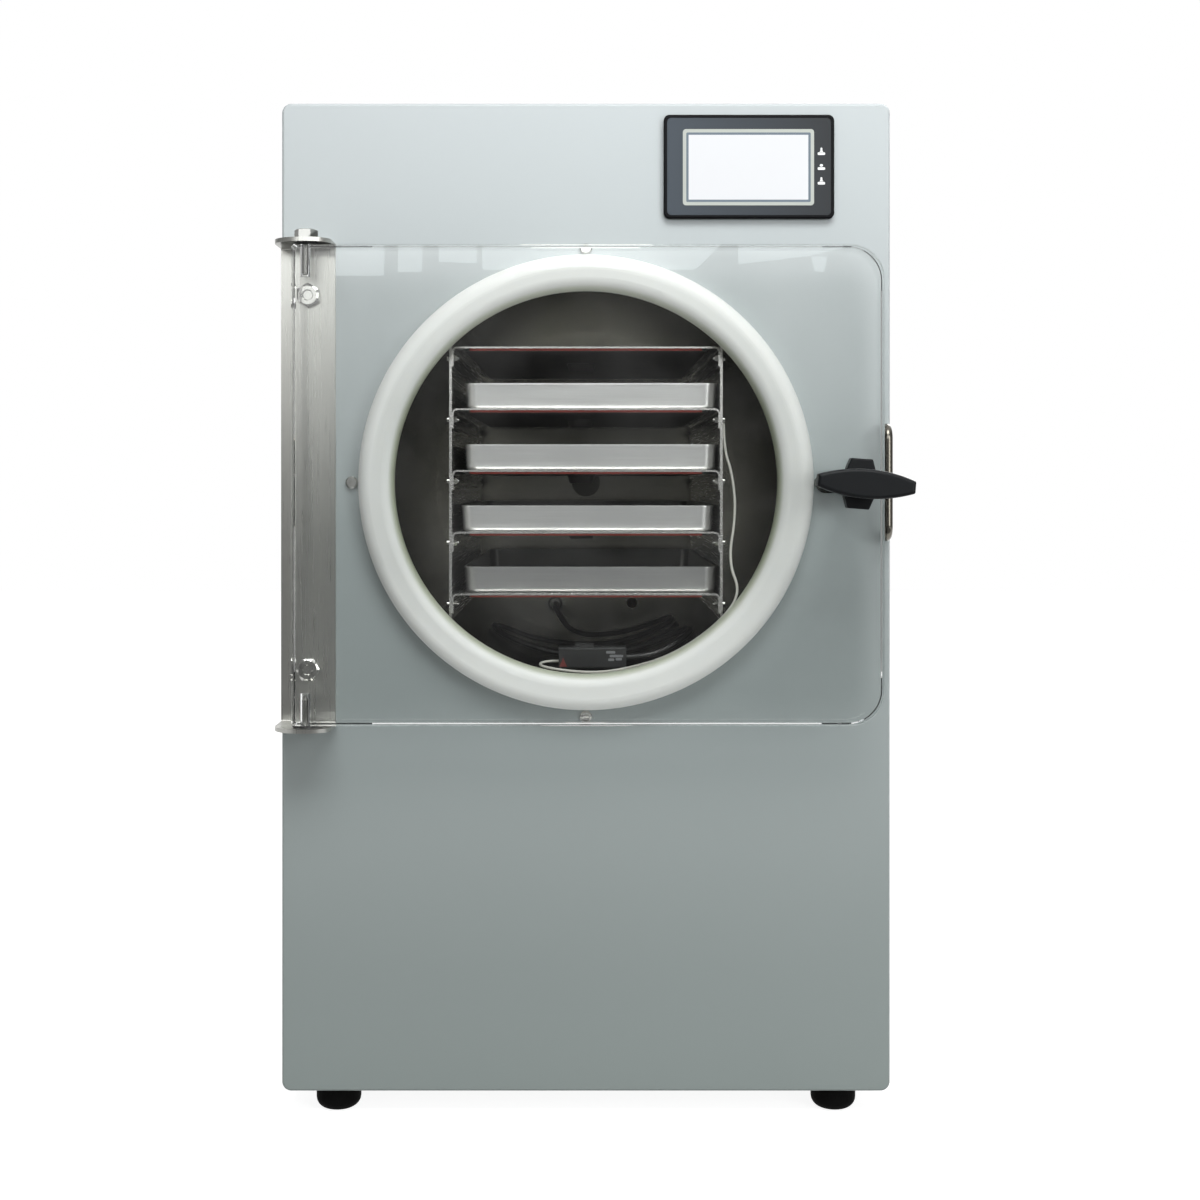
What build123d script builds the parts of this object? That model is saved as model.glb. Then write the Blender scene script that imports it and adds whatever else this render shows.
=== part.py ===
from build123d import *

import os
from math import cos, degrees, pi, radians, sin, sqrt, tan

# Bench-top freeze dryer. Millimetres, +Z up, the front faces -Y.
# Origin: the middle of the footprint, on the surface that the feet stand on.

os.makedirs("parts", exist_ok=True)

# ---------------------------------------------------------------- driving dimensions

# cabinet
cabinet_width = 458.0
cabinet_height = 744.0
cabinet_depth = 560.0
corner_radius = 7.0
front_y = -256.0  # outer face of the front panel
sheet = 1.5
panel_return = 18.0  # depth of the front panel's folded edge
skirt_height = 60.0  # height of the base pan's sides
rear_flange = 14.0
front_edge_radius = 2.0

# feet
foot_radius = 17.0
foot_height = 18.0
foot_round = 8.0
foot_from_side = 40.0
foot_from_end = 22.0
foot_bolt_radius = 3.0
foot_well_radius = 7.0
foot_well_depth = 10.0

# chamber
chamber_rise = 458.5  # chamber axis above the cabinet's lower edge
drum_inner_radius = 147.0
drum_wall = 3.0
drum_depth = 400.0  # front panel's face to the drum's rear wall
drum_lip = 9.0  # how far the mouth stands proud of the front panel
flange_outward = 39.0  # edge of the mouth flange outside the drum's bore
flange_thickness = 6.0
jacket_height = 8.0
jacket_start = 60.0
jacket_end = 360.0
insulation_thickness = 26.0
suction_x = -55.0
liquid_x = 45.0
boss_from_front = 300.0
boss_wall = 2.0
boss_drop = 4.0
panel_gap = 1.0

# door seal
seal_inward = 4.0  # inner edge of the seal inside the drum's bore
seal_outward = 22.5  # outer edge of the seal outside the drum's bore
seal_height = 16.0
seal_round = 9.0
seal_fit = 0.2

# panel screws round the seal
screw_outward = 28.0  # screw circle outside the drum's bore
screw_head_radius = 4.6
screw_head_height = 3.2
screw_radius = 2.5
screw_clearance = 0.25
screw_socket = 2.0

# door
door_width = 433.0
door_height = 351.5
door_thickness = 25.0
door_left = -215.0
door_drop = 2.0  # middle of the plate below the chamber axis
door_corner = 25.0
door_hinge_corner = 2.0
door_edge_chamfer = 0.8
door_gap = 0.3  # between the plate and the seal

# hinge
pivot_x = -206.0
bracket_left = -229.0
bracket_width = 42.0
bracket_reach = 48.0
bracket_sheet = 3.0
bracket_bend = 4.0
bracket_outer_corner = 21.0
bracket_inner_corner = 15.0
hinge_gap = 1.5  # between a bracket flange and the door
hinge_running_gap = 0.3
pin_radius = 3.6
pin_fit = 0.1
pin_length = 21.0  # length of a hinge pin inside the door
pin_end_gap = 2.0
pin_tip = 3.0
hinge_head_flats = 15.0
hinge_head_height = 8.0
hinge_flange_radius = 9.5
hinge_flange_height = 1.4
washer_radius = 10.0
bracket_bolt_x = -206.8
bracket_bolt_spacing = 278.5
bracket_bolt_radius = 5.0
bracket_bolt_length = 20.0
bracket_bolt_flats = 16.0
bracket_bolt_head = 6.4
bracket_nut_height = 8.0

# latch
latch_x = 198.0
latch_drop = 1.0
spindle_radius = 5.0
spindle_fit = 0.06
bushing_radius = 8.0
bushing_flange_radius = 10.0
bushing_flange = 1.2
arm_length = 27.5
arm_width = 14.0
arm_thickness = 4.0
arm_gap = 8.0  # between the front panel and the arm
arm_nut_height = 4.0
arm_collar_radius = 8.0
arm_nut_radius = 7.0
knob_wing_length = 69.0
knob_wing_height = 21.0
knob_tip_height = 8.5
knob_wing_thickness = 13.0
knob_reach = 45.0  # front of the knob ahead of the door's face
knob_lug_height = 36.5
knob_lug_width = 21.0
knob_lug_end_width = 15.5
knob_lug_thickness = 12.0
knob_neck_radius = 9.0
knob_tilt = -4.6
knob_clearance = 0.5
knob_lug_round = 1.2
knob_wing_end_round = 1.5
knob_wing_round = 2.5
spindle_grip = 8.0  # how far the spindle reaches past the lugs into the knob
spindle_chamfer = 0.8
spindle_tail = 1.5

# keeper
keeper_x = 224.2
keeper_rod = 3.75
keeper_height = 88.0
keeper_reach = 17.0  # centre of the bar ahead of the front panel
keeper_bend = 8.0

# touch panel
display_x = 122.4
display_rise = 237.0  # above the chamber axis
display_width = 128.0
display_height = 78.0
display_proud = 5.0
display_corner = 4.5
display_rim = 2.4
display_round = 1.2
display_glass = 1.2
display_glass_drop = 0.2
display_glass_fit = 0.15
display_case_width = 118.0
display_case_height = 68.0
display_case_depth = 34.0

# shelf rack
rack_setback = 15.0  # rack's front edge behind the front panel
rack_depth = 365.0
rack_side_gap = 43.5  # rack's side plates inside the drum's bore, at its widest
rack_corner = 1.5
rack_sheet = 2.0
rack_clearance = 0.3
shelf_count = 5
shelf_pitch = 46.75
top_shelf_drop = 1.16461  # top shelf below the upper corners of the side plates
shelf_sheet = 1.3
shelf_drop = 15.0
shelf_bend = 4.0
shelf_screw_drop = 8.4
shelf_screw_inset = 8.0
rack_screw_radius = 1.3
rack_screw_head = 2.4
rack_screw_head_height = 2.2
rack_screw_length = 7.0
rack_nut_height = 2.0
mat_side_gap = 9.5  # edge of a mat to the edge of its shelf
mat_thickness = 1.6
mat_margin = 3.0
mat_corner = 8.0
mat_exit_length = 24.0  # moulded block where a mat's leads come out
mat_exit_width = 15.0
mat_exit_height = 7.0
mat_exit_x = -4.0
mat_exit_from_front = 150.0
mat_exit_taper = 18

# trays
tray_count = 4
tray_side_gap = 6.5  # edge of a centred tray to the outside of the rack
tray_length = 350.0
tray_height = 19.8
tray_sheet = 1.0
tray_draft = 1.0  # how much narrower the bottom is on each side
tray_corner = 9.0
tray_base_round = 3.0
tray_rim = 0.5
tray_rim_height = 1.5
tray_setback = 12.0
tray_shift = (3.8, 3.5, 1.1, 3.3)  # how far each tray sits off the middle

# chamber leads
harness_radius = 2.5
lead_radius = 1.0
connector_length = 52.0
connector_height = 17.0
connector_depth = 15.0
connector_x = 5.0
connector_from_front = 42.0
connector_round = 2.0
connector_tab = (14.0, 10.0, 2.4)  # the snap lock on top
connector_tab_shift = -6.0
gland_x = -30.0
gland_radius = 9.0
gland_length = 14.0
gland_hex = 5.0
gland_nose_radius = 6.75
gland_chamfer = 1.5

# machine compartment
deck_gap = 10.0
deck_end_gap = 90.0  # deck's rear edge ahead of the cabinet's rear
deck_start = 70.0
deck_sheet = 2.0
deck_side_gap = 7.0
deck_foot = 16.0
deck_window_post = 40.0
deck_window_rail = 40.0
deck_window_corner = 12.0
saddle_width = 220.0
saddle_thickness = 6.0
saddle_height = 60.0
saddle_front_inset = 50.0  # a saddle's place from the deck's front and rear edges
saddle_rear_inset = 90.0
compressor_x = -95.0
compressor_from_front = 190.0
compressor_radius = 76.0
compressor_height = 178.0
compressor_plate = 3.0
compressor_foot = (200.0, 140.0)
compressor_foot_corner = 12.0
compressor_seam = 4.0  # how far the can's welded seam stands out
compressor_seam_height = 5.0
compressor_seam_rise = 98.0
compressor_dome = 34.0
grommet_spacing = (170.0, 110.0)
grommet_height = 12.0
grommet_radius = 11.0
grommet_neck = 6.0
grommet_lip = 4.0
plate_sink = 3.0  # how far the plate squeezes the grommets
fan_x = 90.0
fan_rise = 118.0  # fan axis above the cabinet's lower edge
fan_frame = 176.0
fan_depth = 38.0
fan_opening = 80.0
fan_tip_radius = 74.0
fan_hub_radius = 26.0
fan_hub_depth = 24.0
fan_frame_corner = 10.0
fan_screw_radius = 2.5
fan_screw_inset = 8.0
fan_motor_radius = 28.0
fan_motor_depth = 12.0
fan_strut = 8.0
fan_running_gap = 1.0
fan_hub_nose = 3.0
fan_blades = 7
fan_blade_sheet = 2.0
fan_root_pitch = 50
fan_root_chord = 22.0
fan_tip_pitch = 28
fan_tip_chord = 42.0
fan_shaft_radius = 3.0
fan_shaft_fit = 0.06
condenser_width = 220.0
condenser_height = 190.0
condenser_depth = 48.0
condenser_gap = 12.0
condenser_fins = 20
condenser_fin_pitch = 10.0
condenser_slot = 4.0
condenser_slot_depth = 12.0
condenser_edge = 8.0
condenser_rows = 4
condenser_row_pitch = 42.0
condenser_first_row = 30.0
condenser_bend = 12.0
tube_radius = 4.0
liquid_tube_radius = 3.0
tube_bend = 24.0
can_port_x = 25.0  # either side of the compressor's middle
condenser_port_x = 60.0  # either side of the condenser's middle
discharge_rise = 34.0
suction_rise = 26.0
liquid_rise = 34.0

# rear connections
port_radius = 13.5
port_bore = 11.5
port_reach = 30.0
port_flange_radius = 20.0
port_flange = 3.0
port_cone = 3.0  # axial length of the taper behind the flange
intake_reach = 16.0  # capped end of the port inside the drum
intake_cap = 2.0
intake_slot = 9.0
drain_drop = 118.0
drain_x = 45.0
drain_pipe_radius = 8.0
drain_bore = 5.0
barb_radius = 6.0
barb_bore = 4.0
barb_length = 26.0
valve_from_rear = 24.0
valve_height = 30.0
valve_depth = 26.0
valve_width = 24.0
valve_chamfer = 3.0
stem_radius = 4.0
stem_reach = 8.0
stem_fit = 0.06
lever_length = 46.0
lever_width = 11.0
lever_sheet = 3.0
lever_boss_radius = 8.0
lever_gap = 2.0
inlet_x = -160.0
inlet_rise = 150.0
inlet_width = 50.0
inlet_height = 74.0
inlet_plate = 3.0
inlet_corner = 3.0
inlet_body_width = 41.0
inlet_body_height = 65.0
inlet_body_depth = 36.0
inlet_margin = 6.0  # edge of the plate to the rocker
socket_width = 25.0
socket_height = 18.0
socket_corner = 4.0
socket_from_edge = 20.0
socket_depth = 16.0
contact_width = 2.0
contact_height = 4.0
contact_length = 12.0
contact_places = ((0, 0), (-7.0, -3.0), (7.0, -3.0))
rocker_width = 22.0
rocker_height = 28.0
rocker_tilt = 8.0
rocker_crest = 8.0  # how far the rocker's ends stand ahead of its pivot
rocker_gap = 0.4
rocker_pivot_radius = 1.5
rocker_pivot_fit = 0.06
rocker_pivot_depth = 4.0
rocker_root = -6.0  # back of the wedge, seen from its pivot
rocker_root_half = 4.0
rocker_shoulder = 4.5
rocker_valley = 6.0
box_width = 190.0
box_height = 62.0
box_depth = 170.0
box_x = -110.0
box_from_front = 60.0
box_chamfer = 4.0

# ---------------------------------------------------------------- shared places

base_z = foot_height
top_z = base_z + cabinet_height
middle_z = (base_z + top_z) / 2
side_x = cabinet_width / 2
rear_y = front_y + cabinet_depth
chamber_z = base_z + chamber_rise
chamber_plane = Plane.XY.offset(chamber_z)
chamber_axis = Axis((0, 0, chamber_z), (0, 1, 0))
drum_outer_radius = drum_inner_radius + drum_wall
flange_radius = drum_inner_radius + flange_outward
seal_inner_radius = drum_inner_radius - seal_inward
seal_outer_radius = drum_inner_radius + seal_outward
screw_circle_radius = drum_inner_radius + screw_outward
drum_rear_y = front_y + drum_depth + drum_wall
flange_rear_y = front_y + sheet + flange_thickness
screw_length = sheet + flange_thickness - 0.5
jacket_radius = drum_outer_radius + jacket_height
insulation_inner = jacket_radius + rack_clearance
insulation_outer = insulation_inner + insulation_thickness
insulation_rear_y = drum_rear_y + insulation_thickness
door_rear_y = front_y - seal_height - door_gap
door_front_y = door_rear_y - door_thickness
pivot_y = (door_rear_y + door_front_y) / 2
door_z = chamber_z - door_drop
door_top_z = door_z + door_height / 2
door_bottom_z = door_z - door_height / 2
latch_z = chamber_z - latch_drop
rack_half_width = drum_inner_radius - rack_side_gap
rack_front_y = front_y + rack_setback
rack_rear_y = rack_front_y + rack_depth
rack_reach = drum_inner_radius - rack_clearance
rack_half_height = sqrt(rack_reach**2 - rack_half_width**2)
top_shelf_rise = rack_half_height - top_shelf_drop
shelf_half_width = rack_half_width - rack_sheet
mat_width = 2 * (shelf_half_width - mat_side_gap)
tray_width = 2 * (rack_half_width - tray_side_gap)
shelf_tops = [chamber_z + top_shelf_rise - shelf_pitch * i for i in range(shelf_count)]
deck_z = chamber_z - insulation_outer - deck_gap
deck_depth = cabinet_depth - deck_start - deck_end_gap
saddle_from_front = (deck_start + saddle_front_inset, deck_start + deck_depth - saddle_rear_inset)
floor_z = base_z + sheet
inner_x = side_x - sheet


def facing_front(y):
    """A sketch plane at depth y that looks out of the front: x to the right, y up."""
    return Plane.XZ.offset(-y)


def hex_head_bolt(flats, head, shank, length, flange=0.0, flange_height=0.0):
    """A bolt along +Z: the seat of its head at the origin, its shank below."""
    with BuildPart() as bolt:
        if flange:
            Cylinder(flange, flange_height, align=(Align.CENTER, Align.CENTER, Align.MIN))
        with BuildSketch(Plane.XY.offset(flange_height)):
            RegularPolygon(flats / 2, 6, major_radius=False)
        extrude(amount=head - flange_height)
        Cylinder(shank, length, align=(Align.CENTER, Align.CENTER, Align.MAX))
        reach = max(flange, flats)
        crown = 0.43 * flats
        with BuildSketch(Plane.XZ):
            with BuildLine():
                Polyline(
                    (0, -length), (reach, -length), (reach, head - 0.5 * (reach - crown)),
                    (crown, head), (0, head), close=True,
                )
            make_face()
        revolve(axis=Axis.Z, mode=Mode.INTERSECT)
        with BuildSketch(Plane.XY.offset(head)):
            Circle(0.6 * crown)
        extrude(amount=-0.08 * flats, taper=30, mode=Mode.SUBTRACT)
    return bolt.part


def hex_nut(flats, height, bore):
    """A nut along -Z: its seat at the origin."""
    with BuildPart() as nut:
        with BuildSketch():
            RegularPolygon(flats / 2, 6, major_radius=False)
            Circle(bore, mode=Mode.SUBTRACT)
        extrude(amount=-height)
    return nut.part


def pan_head_screw(head_radius, head_height, shank, length, socket):
    """A socket screw along +Z: the seat of its head at the origin, its shank below."""
    with BuildPart() as screw:
        Cylinder(head_radius, head_height, align=(Align.CENTER, Align.CENTER, Align.MIN))
        chamfer(screw.edges().sort_by(Axis.Z)[-1], 0.35 * head_height)
        Cylinder(shank, length, align=(Align.CENTER, Align.CENTER, Align.MAX))
        with BuildSketch(Plane.XY.offset(head_height)):
            RegularPolygon(socket, 6)
        extrude(amount=-0.6 * head_height, mode=Mode.SUBTRACT)
    return screw.part


def out_of_front(x, y, z):
    """A location whose +Z points out of the front of the cabinet."""
    return Location((x, y, z), (90, 0, 0))


def out_of_rear(x, y, z):
    """A location whose +Z points out of the back of the cabinet."""
    return Location((x, y, z), (-90, 0, 0))


def bend_radii(points):
    """Each corner's arc: 0.45 of its shorter run over the tangent of half the turn."""
    corners = [Vector(*p) for p in points]
    radii = []
    for before, corner, after in zip(corners, corners[1:], corners[2:]):
        incoming, outgoing = corner - before, after - corner
        half_turn = radians(incoming.get_angle(outgoing)) / 2
        shorter = min(incoming.length, outgoing.length)
        radii.append(0.45 * shorter / tan(half_turn))
    return radii


# ---------------------------------------------------------------- cabinet

# The front panel is a shallow pan: one sheet with its edge folded back all round.
with BuildPart() as front_panel:
    with BuildSketch(facing_front(front_y)):
        with Locations((0, middle_z)):
            RectangleRounded(cabinet_width, cabinet_height, corner_radius)
    extrude(amount=-panel_return)
    front_edge = front_panel.faces().sort_by(Axis.Y)[0].edges()
    fillet(front_edge, front_edge_radius)
    with BuildSketch(facing_front(front_y + sheet)):
        with Locations((0, middle_z)):
            RectangleRounded(
                cabinet_width - 2 * sheet, cabinet_height - 2 * sheet, corner_radius - sheet
            )
    extrude(amount=-panel_return, mode=Mode.SUBTRACT)
    with BuildSketch(facing_front(front_y)):
        with Locations((0, chamber_z)):
            Circle(drum_outer_radius + panel_gap)
        with Locations((0, chamber_z)):
            with PolarLocations(screw_circle_radius, 4):
                Circle(screw_radius + screw_clearance)
        with Locations((display_x, chamber_z + display_rise)):
            Rectangle(display_case_width + panel_gap, display_case_height + panel_gap)
        with Locations((bracket_bolt_x, chamber_z)):
            with GridLocations(0, bracket_bolt_spacing, 1, 2):
                Circle(bracket_bolt_radius)
    extrude(amount=-2 * sheet, mode=Mode.SUBTRACT)
front_panel.part.label = "front_panel"
export_step(front_panel.part, "parts/front_panel.step")

wrapper_front_y = front_y + panel_return
wrapper_rear_y = rear_y - sheet
rear_screw_radius = 2.0
rear_screw_head = 3.6
rear_screw_head_height = 2.2
rear_screw_length = 8.0
rear_screw_socket = 1.6
rear_screw_inset = 7.5
rear_screw_rise = (cabinet_height - 2 * rear_screw_inset - 2 * corner_radius) / 3
rear_screw_places = [
    (side * (side_x - rear_screw_inset), middle_z + (row - 1.5) * rear_screw_rise)
    for side in (-1, 1)
    for row in range(4)
]
vent_count = 9
vent_length = 96.0
vent_width = 6.0
vent_pitch = 16.0
vent_z = base_z + 120.0
vent_y = rear_y - 130.0


def cabinet_shell(keep_above):
    """The folded sides of the cabinet: above the skirt the wrapper, below it the pan."""
    with BuildPart() as shell:
        with BuildSketch(facing_front(wrapper_front_y)):
            with Locations((0, middle_z)):
                RectangleRounded(cabinet_width, cabinet_height, corner_radius)
                RectangleRounded(
                    cabinet_width - 2 * sheet,
                    cabinet_height - 2 * sheet,
                    corner_radius - sheet,
                    mode=Mode.SUBTRACT,
                )
        extrude(amount=-(wrapper_rear_y - wrapper_front_y))
        with BuildSketch(facing_front(wrapper_rear_y - sheet)):
            with Locations((0, middle_z)):
                RectangleRounded(
                    cabinet_width - 2 * sheet, cabinet_height - 2 * sheet, corner_radius - sheet
                )
                Rectangle(
                    cabinet_width - 2 * rear_flange,
                    cabinet_height - 2 * rear_flange,
                    mode=Mode.SUBTRACT,
                )
            with Locations(*rear_screw_places):
                Circle(rear_screw_radius, mode=Mode.SUBTRACT)
        extrude(amount=-sheet)
        split(
            bisect_by=Plane.XY.offset(base_z + skirt_height),
            keep=Keep.TOP if keep_above else Keep.BOTTOM,
        )
    return shell.part


with BuildPart() as cabinet_wrapper:
    add(cabinet_shell(keep_above=True))
    with BuildSketch(Plane.YZ.offset(-cabinet_width)):
        with Locations((vent_y, vent_z + vent_pitch * (vent_count - 1) / 2)):
            with GridLocations(0, vent_pitch, 1, vent_count):
                SlotOverall(vent_length, vent_width)
    extrude(amount=2 * cabinet_width, mode=Mode.SUBTRACT)
cabinet_wrapper.part.label = "cabinet_wrapper"
export_step(cabinet_wrapper.part, "parts/cabinet_wrapper.step")

foot_places = [
    (x, y)
    for x in (-(side_x - foot_from_side), side_x - foot_from_side)
    for y in (front_y + foot_from_end, rear_y - foot_from_end)
]

with BuildPart() as base_pan:
    add(cabinet_shell(keep_above=False))
    with BuildSketch(Plane.XY.offset(base_z)):
        with Locations(*foot_places):
            Circle(foot_bolt_radius)
    extrude(amount=sheet, mode=Mode.SUBTRACT)
base_pan.part.label = "base_pan"
export_step(base_pan.part, "parts/base_pan.step")

# Each foot is a turned rubber bumper with a well for its bolt.
with BuildPart() as rubber_feet:
    with BuildSketch(Plane.XZ) as foot_section:
        with BuildLine():
            Polyline(
                (foot_bolt_radius, foot_height), (foot_radius, foot_height),
                (foot_radius, 0), (foot_well_radius, 0),
                (foot_well_radius, foot_well_depth),
                (foot_bolt_radius, foot_well_depth), close=True,
            )
        make_face()
        fillet(foot_section.vertices().group_by(Axis.X)[-1].sort_by(Axis.Y)[0], foot_round)
    with Locations(*foot_places):
        add(revolve(foot_section.sketch, axis=Axis.Z, mode=Mode.PRIVATE))
rubber_feet.part.label = "rubber_feet"
export_step(rubber_feet.part, "parts/rubber_feet.step")

# ---------------------------------------------------------------- rear panel

fan_z = base_z + fan_rise
drain_z = chamber_z - drain_drop
inlet_z = base_z + inlet_rise
grille_rings = 4
grille_first_radius = 20.0
grille_pitch = 15.0
grille_slot = 8.5
grille_spoke = 12.0

# The grille is three-spoked rings of arc slots.
with BuildSketch() as grille:
    for ring in range(grille_rings):
        ring_radius = grille_first_radius + ring * grille_pitch
        ring_spoke = degrees((grille_spoke + grille_slot) / ring_radius)
        with PolarLocations(0, 3):
            SlotArc(
                CenterArc((0, 0), ring_radius, ring_spoke / 2, 120 - ring_spoke), grille_slot
            )

with BuildPart() as rear_panel:
    with BuildSketch(facing_front(wrapper_rear_y)):
        with Locations((0, middle_z)):
            RectangleRounded(cabinet_width, cabinet_height, corner_radius)
    extrude(amount=-sheet)
    with BuildSketch(facing_front(wrapper_rear_y)):
        with Locations((fan_x, fan_z)):
            add(grille.sketch)
        with Locations((0, chamber_z)):
            Circle(port_radius + panel_gap)
        with Locations((drain_x, drain_z)):
            Circle(drain_pipe_radius + panel_gap)
        with Locations((inlet_x, inlet_z)):
            Rectangle(inlet_body_width + panel_gap, inlet_body_height + panel_gap)
    extrude(amount=-sheet, mode=Mode.SUBTRACT)
    with BuildSketch(facing_front(wrapper_rear_y)):
        with Locations(*rear_screw_places):
            Circle(rear_screw_radius)
    extrude(amount=-sheet, mode=Mode.SUBTRACT)
rear_panel.part.label = "rear_panel"
export_step(rear_panel.part, "parts/rear_panel.step")

# ---------------------------------------------------------------- hinge bracket

bracket_top_z = door_top_z + hinge_gap + bracket_sheet
bracket_bottom_z = door_bottom_z - hinge_gap - bracket_sheet

# One stainless strip folded into a C: a back plate with a flange above and below the door.
with BuildPart() as hinge_bracket:
    with BuildSketch(Plane.YZ.offset(bracket_left)) as bracket_side:
        with BuildLine():
            Polyline(
                (front_y, bracket_bottom_z), (front_y, bracket_top_z),
                (front_y - bracket_reach, bracket_top_z),
                (front_y - bracket_reach, bracket_top_z - bracket_sheet),
                (front_y - bracket_sheet, bracket_top_z - bracket_sheet),
                (front_y - bracket_sheet, bracket_bottom_z + bracket_sheet),
                (front_y - bracket_reach, bracket_bottom_z + bracket_sheet),
                (front_y - bracket_reach, bracket_bottom_z), close=True,
            )
        make_face()
        fillet(bracket_side.vertices().group_by(Axis.X)[-1], bracket_bend)
        fillet(bracket_side.vertices().filter_by(
            lambda v: abs(v.X - front_y + bracket_sheet) < 0.01), bracket_bend - bracket_sheet)
    extrude(amount=bracket_width)
    flange_tips = hinge_bracket.edges().filter_by(Axis.Z).group_by(Axis.Y)[0]
    fillet(flange_tips.group_by(Axis.X)[0], bracket_outer_corner)
    flange_tips = hinge_bracket.edges().filter_by(Axis.Z).group_by(Axis.Y)[0]
    fillet(flange_tips.group_by(Axis.X)[-1], bracket_inner_corner)
    with Locations((pivot_x, pivot_y, door_z)):
        Cylinder(pin_radius, 2 * door_height, mode=Mode.SUBTRACT)
    with BuildSketch(facing_front(front_y)):
        with Locations((bracket_bolt_x, chamber_z)):
            with GridLocations(0, bracket_bolt_spacing, 1, 2):
                Circle(bracket_bolt_radius)
    extrude(amount=bracket_sheet, mode=Mode.SUBTRACT)
hinge_bracket.part.label = "hinge_bracket"
export_step(hinge_bracket.part, "parts/hinge_bracket.step")

with BuildPart() as bracket_bolts:
    bolt = hex_head_bolt(
        bracket_bolt_flats, bracket_bolt_head, bracket_bolt_radius, bracket_bolt_length
    )
    nut = hex_nut(bracket_bolt_flats, bracket_nut_height, bracket_bolt_radius)
    for turn, z in ((30, bracket_bolt_spacing / 2), (0, -bracket_bolt_spacing / 2)):
        head_place = out_of_front(bracket_bolt_x, front_y - bracket_sheet, chamber_z + z)
        nut_place = out_of_front(bracket_bolt_x, front_y + sheet, chamber_z + z)
        with Locations(head_place * Rotation(0, 0, turn)):
            add(bolt)
        with Locations(nut_place * Rotation(0, 0, turn)):
            add(nut)
bracket_bolts.part.label = "bracket_bolts"
export_step(bracket_bolts.part, "parts/bracket_bolts.step")

# The door hangs between a bolt through the upper flange and a pin welded into the lower one.
pin_reach = bracket_sheet + hinge_gap + pin_length
with BuildPart() as hinge_bolts:
    pivot_bolt = hex_head_bolt(
        hinge_head_flats, hinge_head_height, pin_radius, pin_reach,
        flange=hinge_flange_radius, flange_height=hinge_flange_height,
    )
    with Locations((pivot_x, pivot_y, bracket_top_z)):
        add(pivot_bolt)
    with Locations((pivot_x, pivot_y, bracket_bottom_z)):
        Cylinder(pin_radius, pin_reach, align=(Align.CENTER, Align.CENTER, Align.MIN))
    pin_end = hinge_bolts.faces().filter_by(Axis.Z).group_by(Axis.Z)[1]
    chamfer(pin_end.edges(), pin_tip, 0.6 * pin_radius)
hinge_bolts.part.label = "hinge_bolts"
export_step(hinge_bolts.part, "parts/hinge_bolts.step")

# Nylon washers lie on the bracket's flanges and leave the door its running gap.
washer_height = hinge_gap - hinge_running_gap
with BuildPart() as hinge_washers:
    for seat_z, height in (
        (bracket_bottom_z + bracket_sheet, washer_height),
        (bracket_top_z - bracket_sheet, -washer_height),
    ):
        with BuildSketch(Plane.XY.offset(seat_z)):
            with Locations((pivot_x, pivot_y)):
                Circle(washer_radius)
                Circle(pin_radius + pin_fit, mode=Mode.SUBTRACT)
        extrude(amount=height)
hinge_washers.part.label = "hinge_washers"
export_step(hinge_washers.part, "parts/hinge_washers.step")

# ---------------------------------------------------------------- chamber

# The welded drum: barrel, mouth flange behind the front panel, and flat rear wall.
with BuildPart() as chamber_drum:
    with BuildSketch(chamber_plane):
        with BuildLine():
            Polyline(
                (drum_inner_radius, front_y - drum_lip), (drum_outer_radius, front_y - drum_lip),
                (drum_outer_radius, front_y + sheet), (flange_radius, front_y + sheet),
                (flange_radius, flange_rear_y), (drum_outer_radius, flange_rear_y),
                (drum_outer_radius, drum_rear_y), (0, drum_rear_y),
                (0, drum_rear_y - drum_wall), (drum_inner_radius, drum_rear_y - drum_wall),
                close=True,
            )
        make_face()
    revolve(axis=chamber_axis)
    with BuildSketch(facing_front(front_y + sheet)):
        with Locations((0, chamber_z)):
            with PolarLocations(screw_circle_radius, 4):
                Circle(screw_radius)
    extrude(amount=-flange_thickness, mode=Mode.SUBTRACT)
    with BuildSketch(facing_front(drum_rear_y)):
        with Locations((0, chamber_z)):
            Circle(port_radius)
        with Locations((drain_x, drain_z)):
            Circle(drain_bore)
    extrude(amount=drum_wall, mode=Mode.SUBTRACT)
chamber_drum.part.label = "chamber_drum"
export_step(chamber_drum.part, "parts/chamber_drum.step")

# The cold jacket is a second skin with tapered ends and two bosses for the refrigerant.
suction_port = (suction_x, front_y + boss_from_front)
liquid_port = (liquid_x, front_y + boss_from_front)
boss_radius = tube_radius + boss_wall
boss_z = chamber_z - jacket_radius - boss_drop
boss_height = chamber_z - boss_z - sqrt(jacket_radius**2 - (abs(suction_x) + boss_radius) ** 2)
with BuildPart() as cooling_jacket:
    with BuildSketch(chamber_plane):
        with BuildLine():
            Polyline(
                (drum_outer_radius, front_y + jacket_start),
                (jacket_radius, front_y + jacket_start + 2 * jacket_height),
                (jacket_radius, front_y + jacket_end - 2 * jacket_height),
                (drum_outer_radius, front_y + jacket_end), close=True,
            )
        make_face()
    revolve(axis=chamber_axis)
    for boss_place in (suction_port, liquid_port):
        with BuildSketch(Plane.XY.offset(boss_z)):
            with Locations(boss_place):
                Circle(boss_radius)
        extrude(amount=boss_height)
    with BuildSketch(facing_front(front_y)):
        with Locations((0, chamber_z)):
            Circle(drum_outer_radius)
    extrude(amount=-drum_depth, mode=Mode.SUBTRACT)
cooling_jacket.part.label = "cooling_jacket"
export_step(cooling_jacket.part, "parts/cooling_jacket.step")

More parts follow.
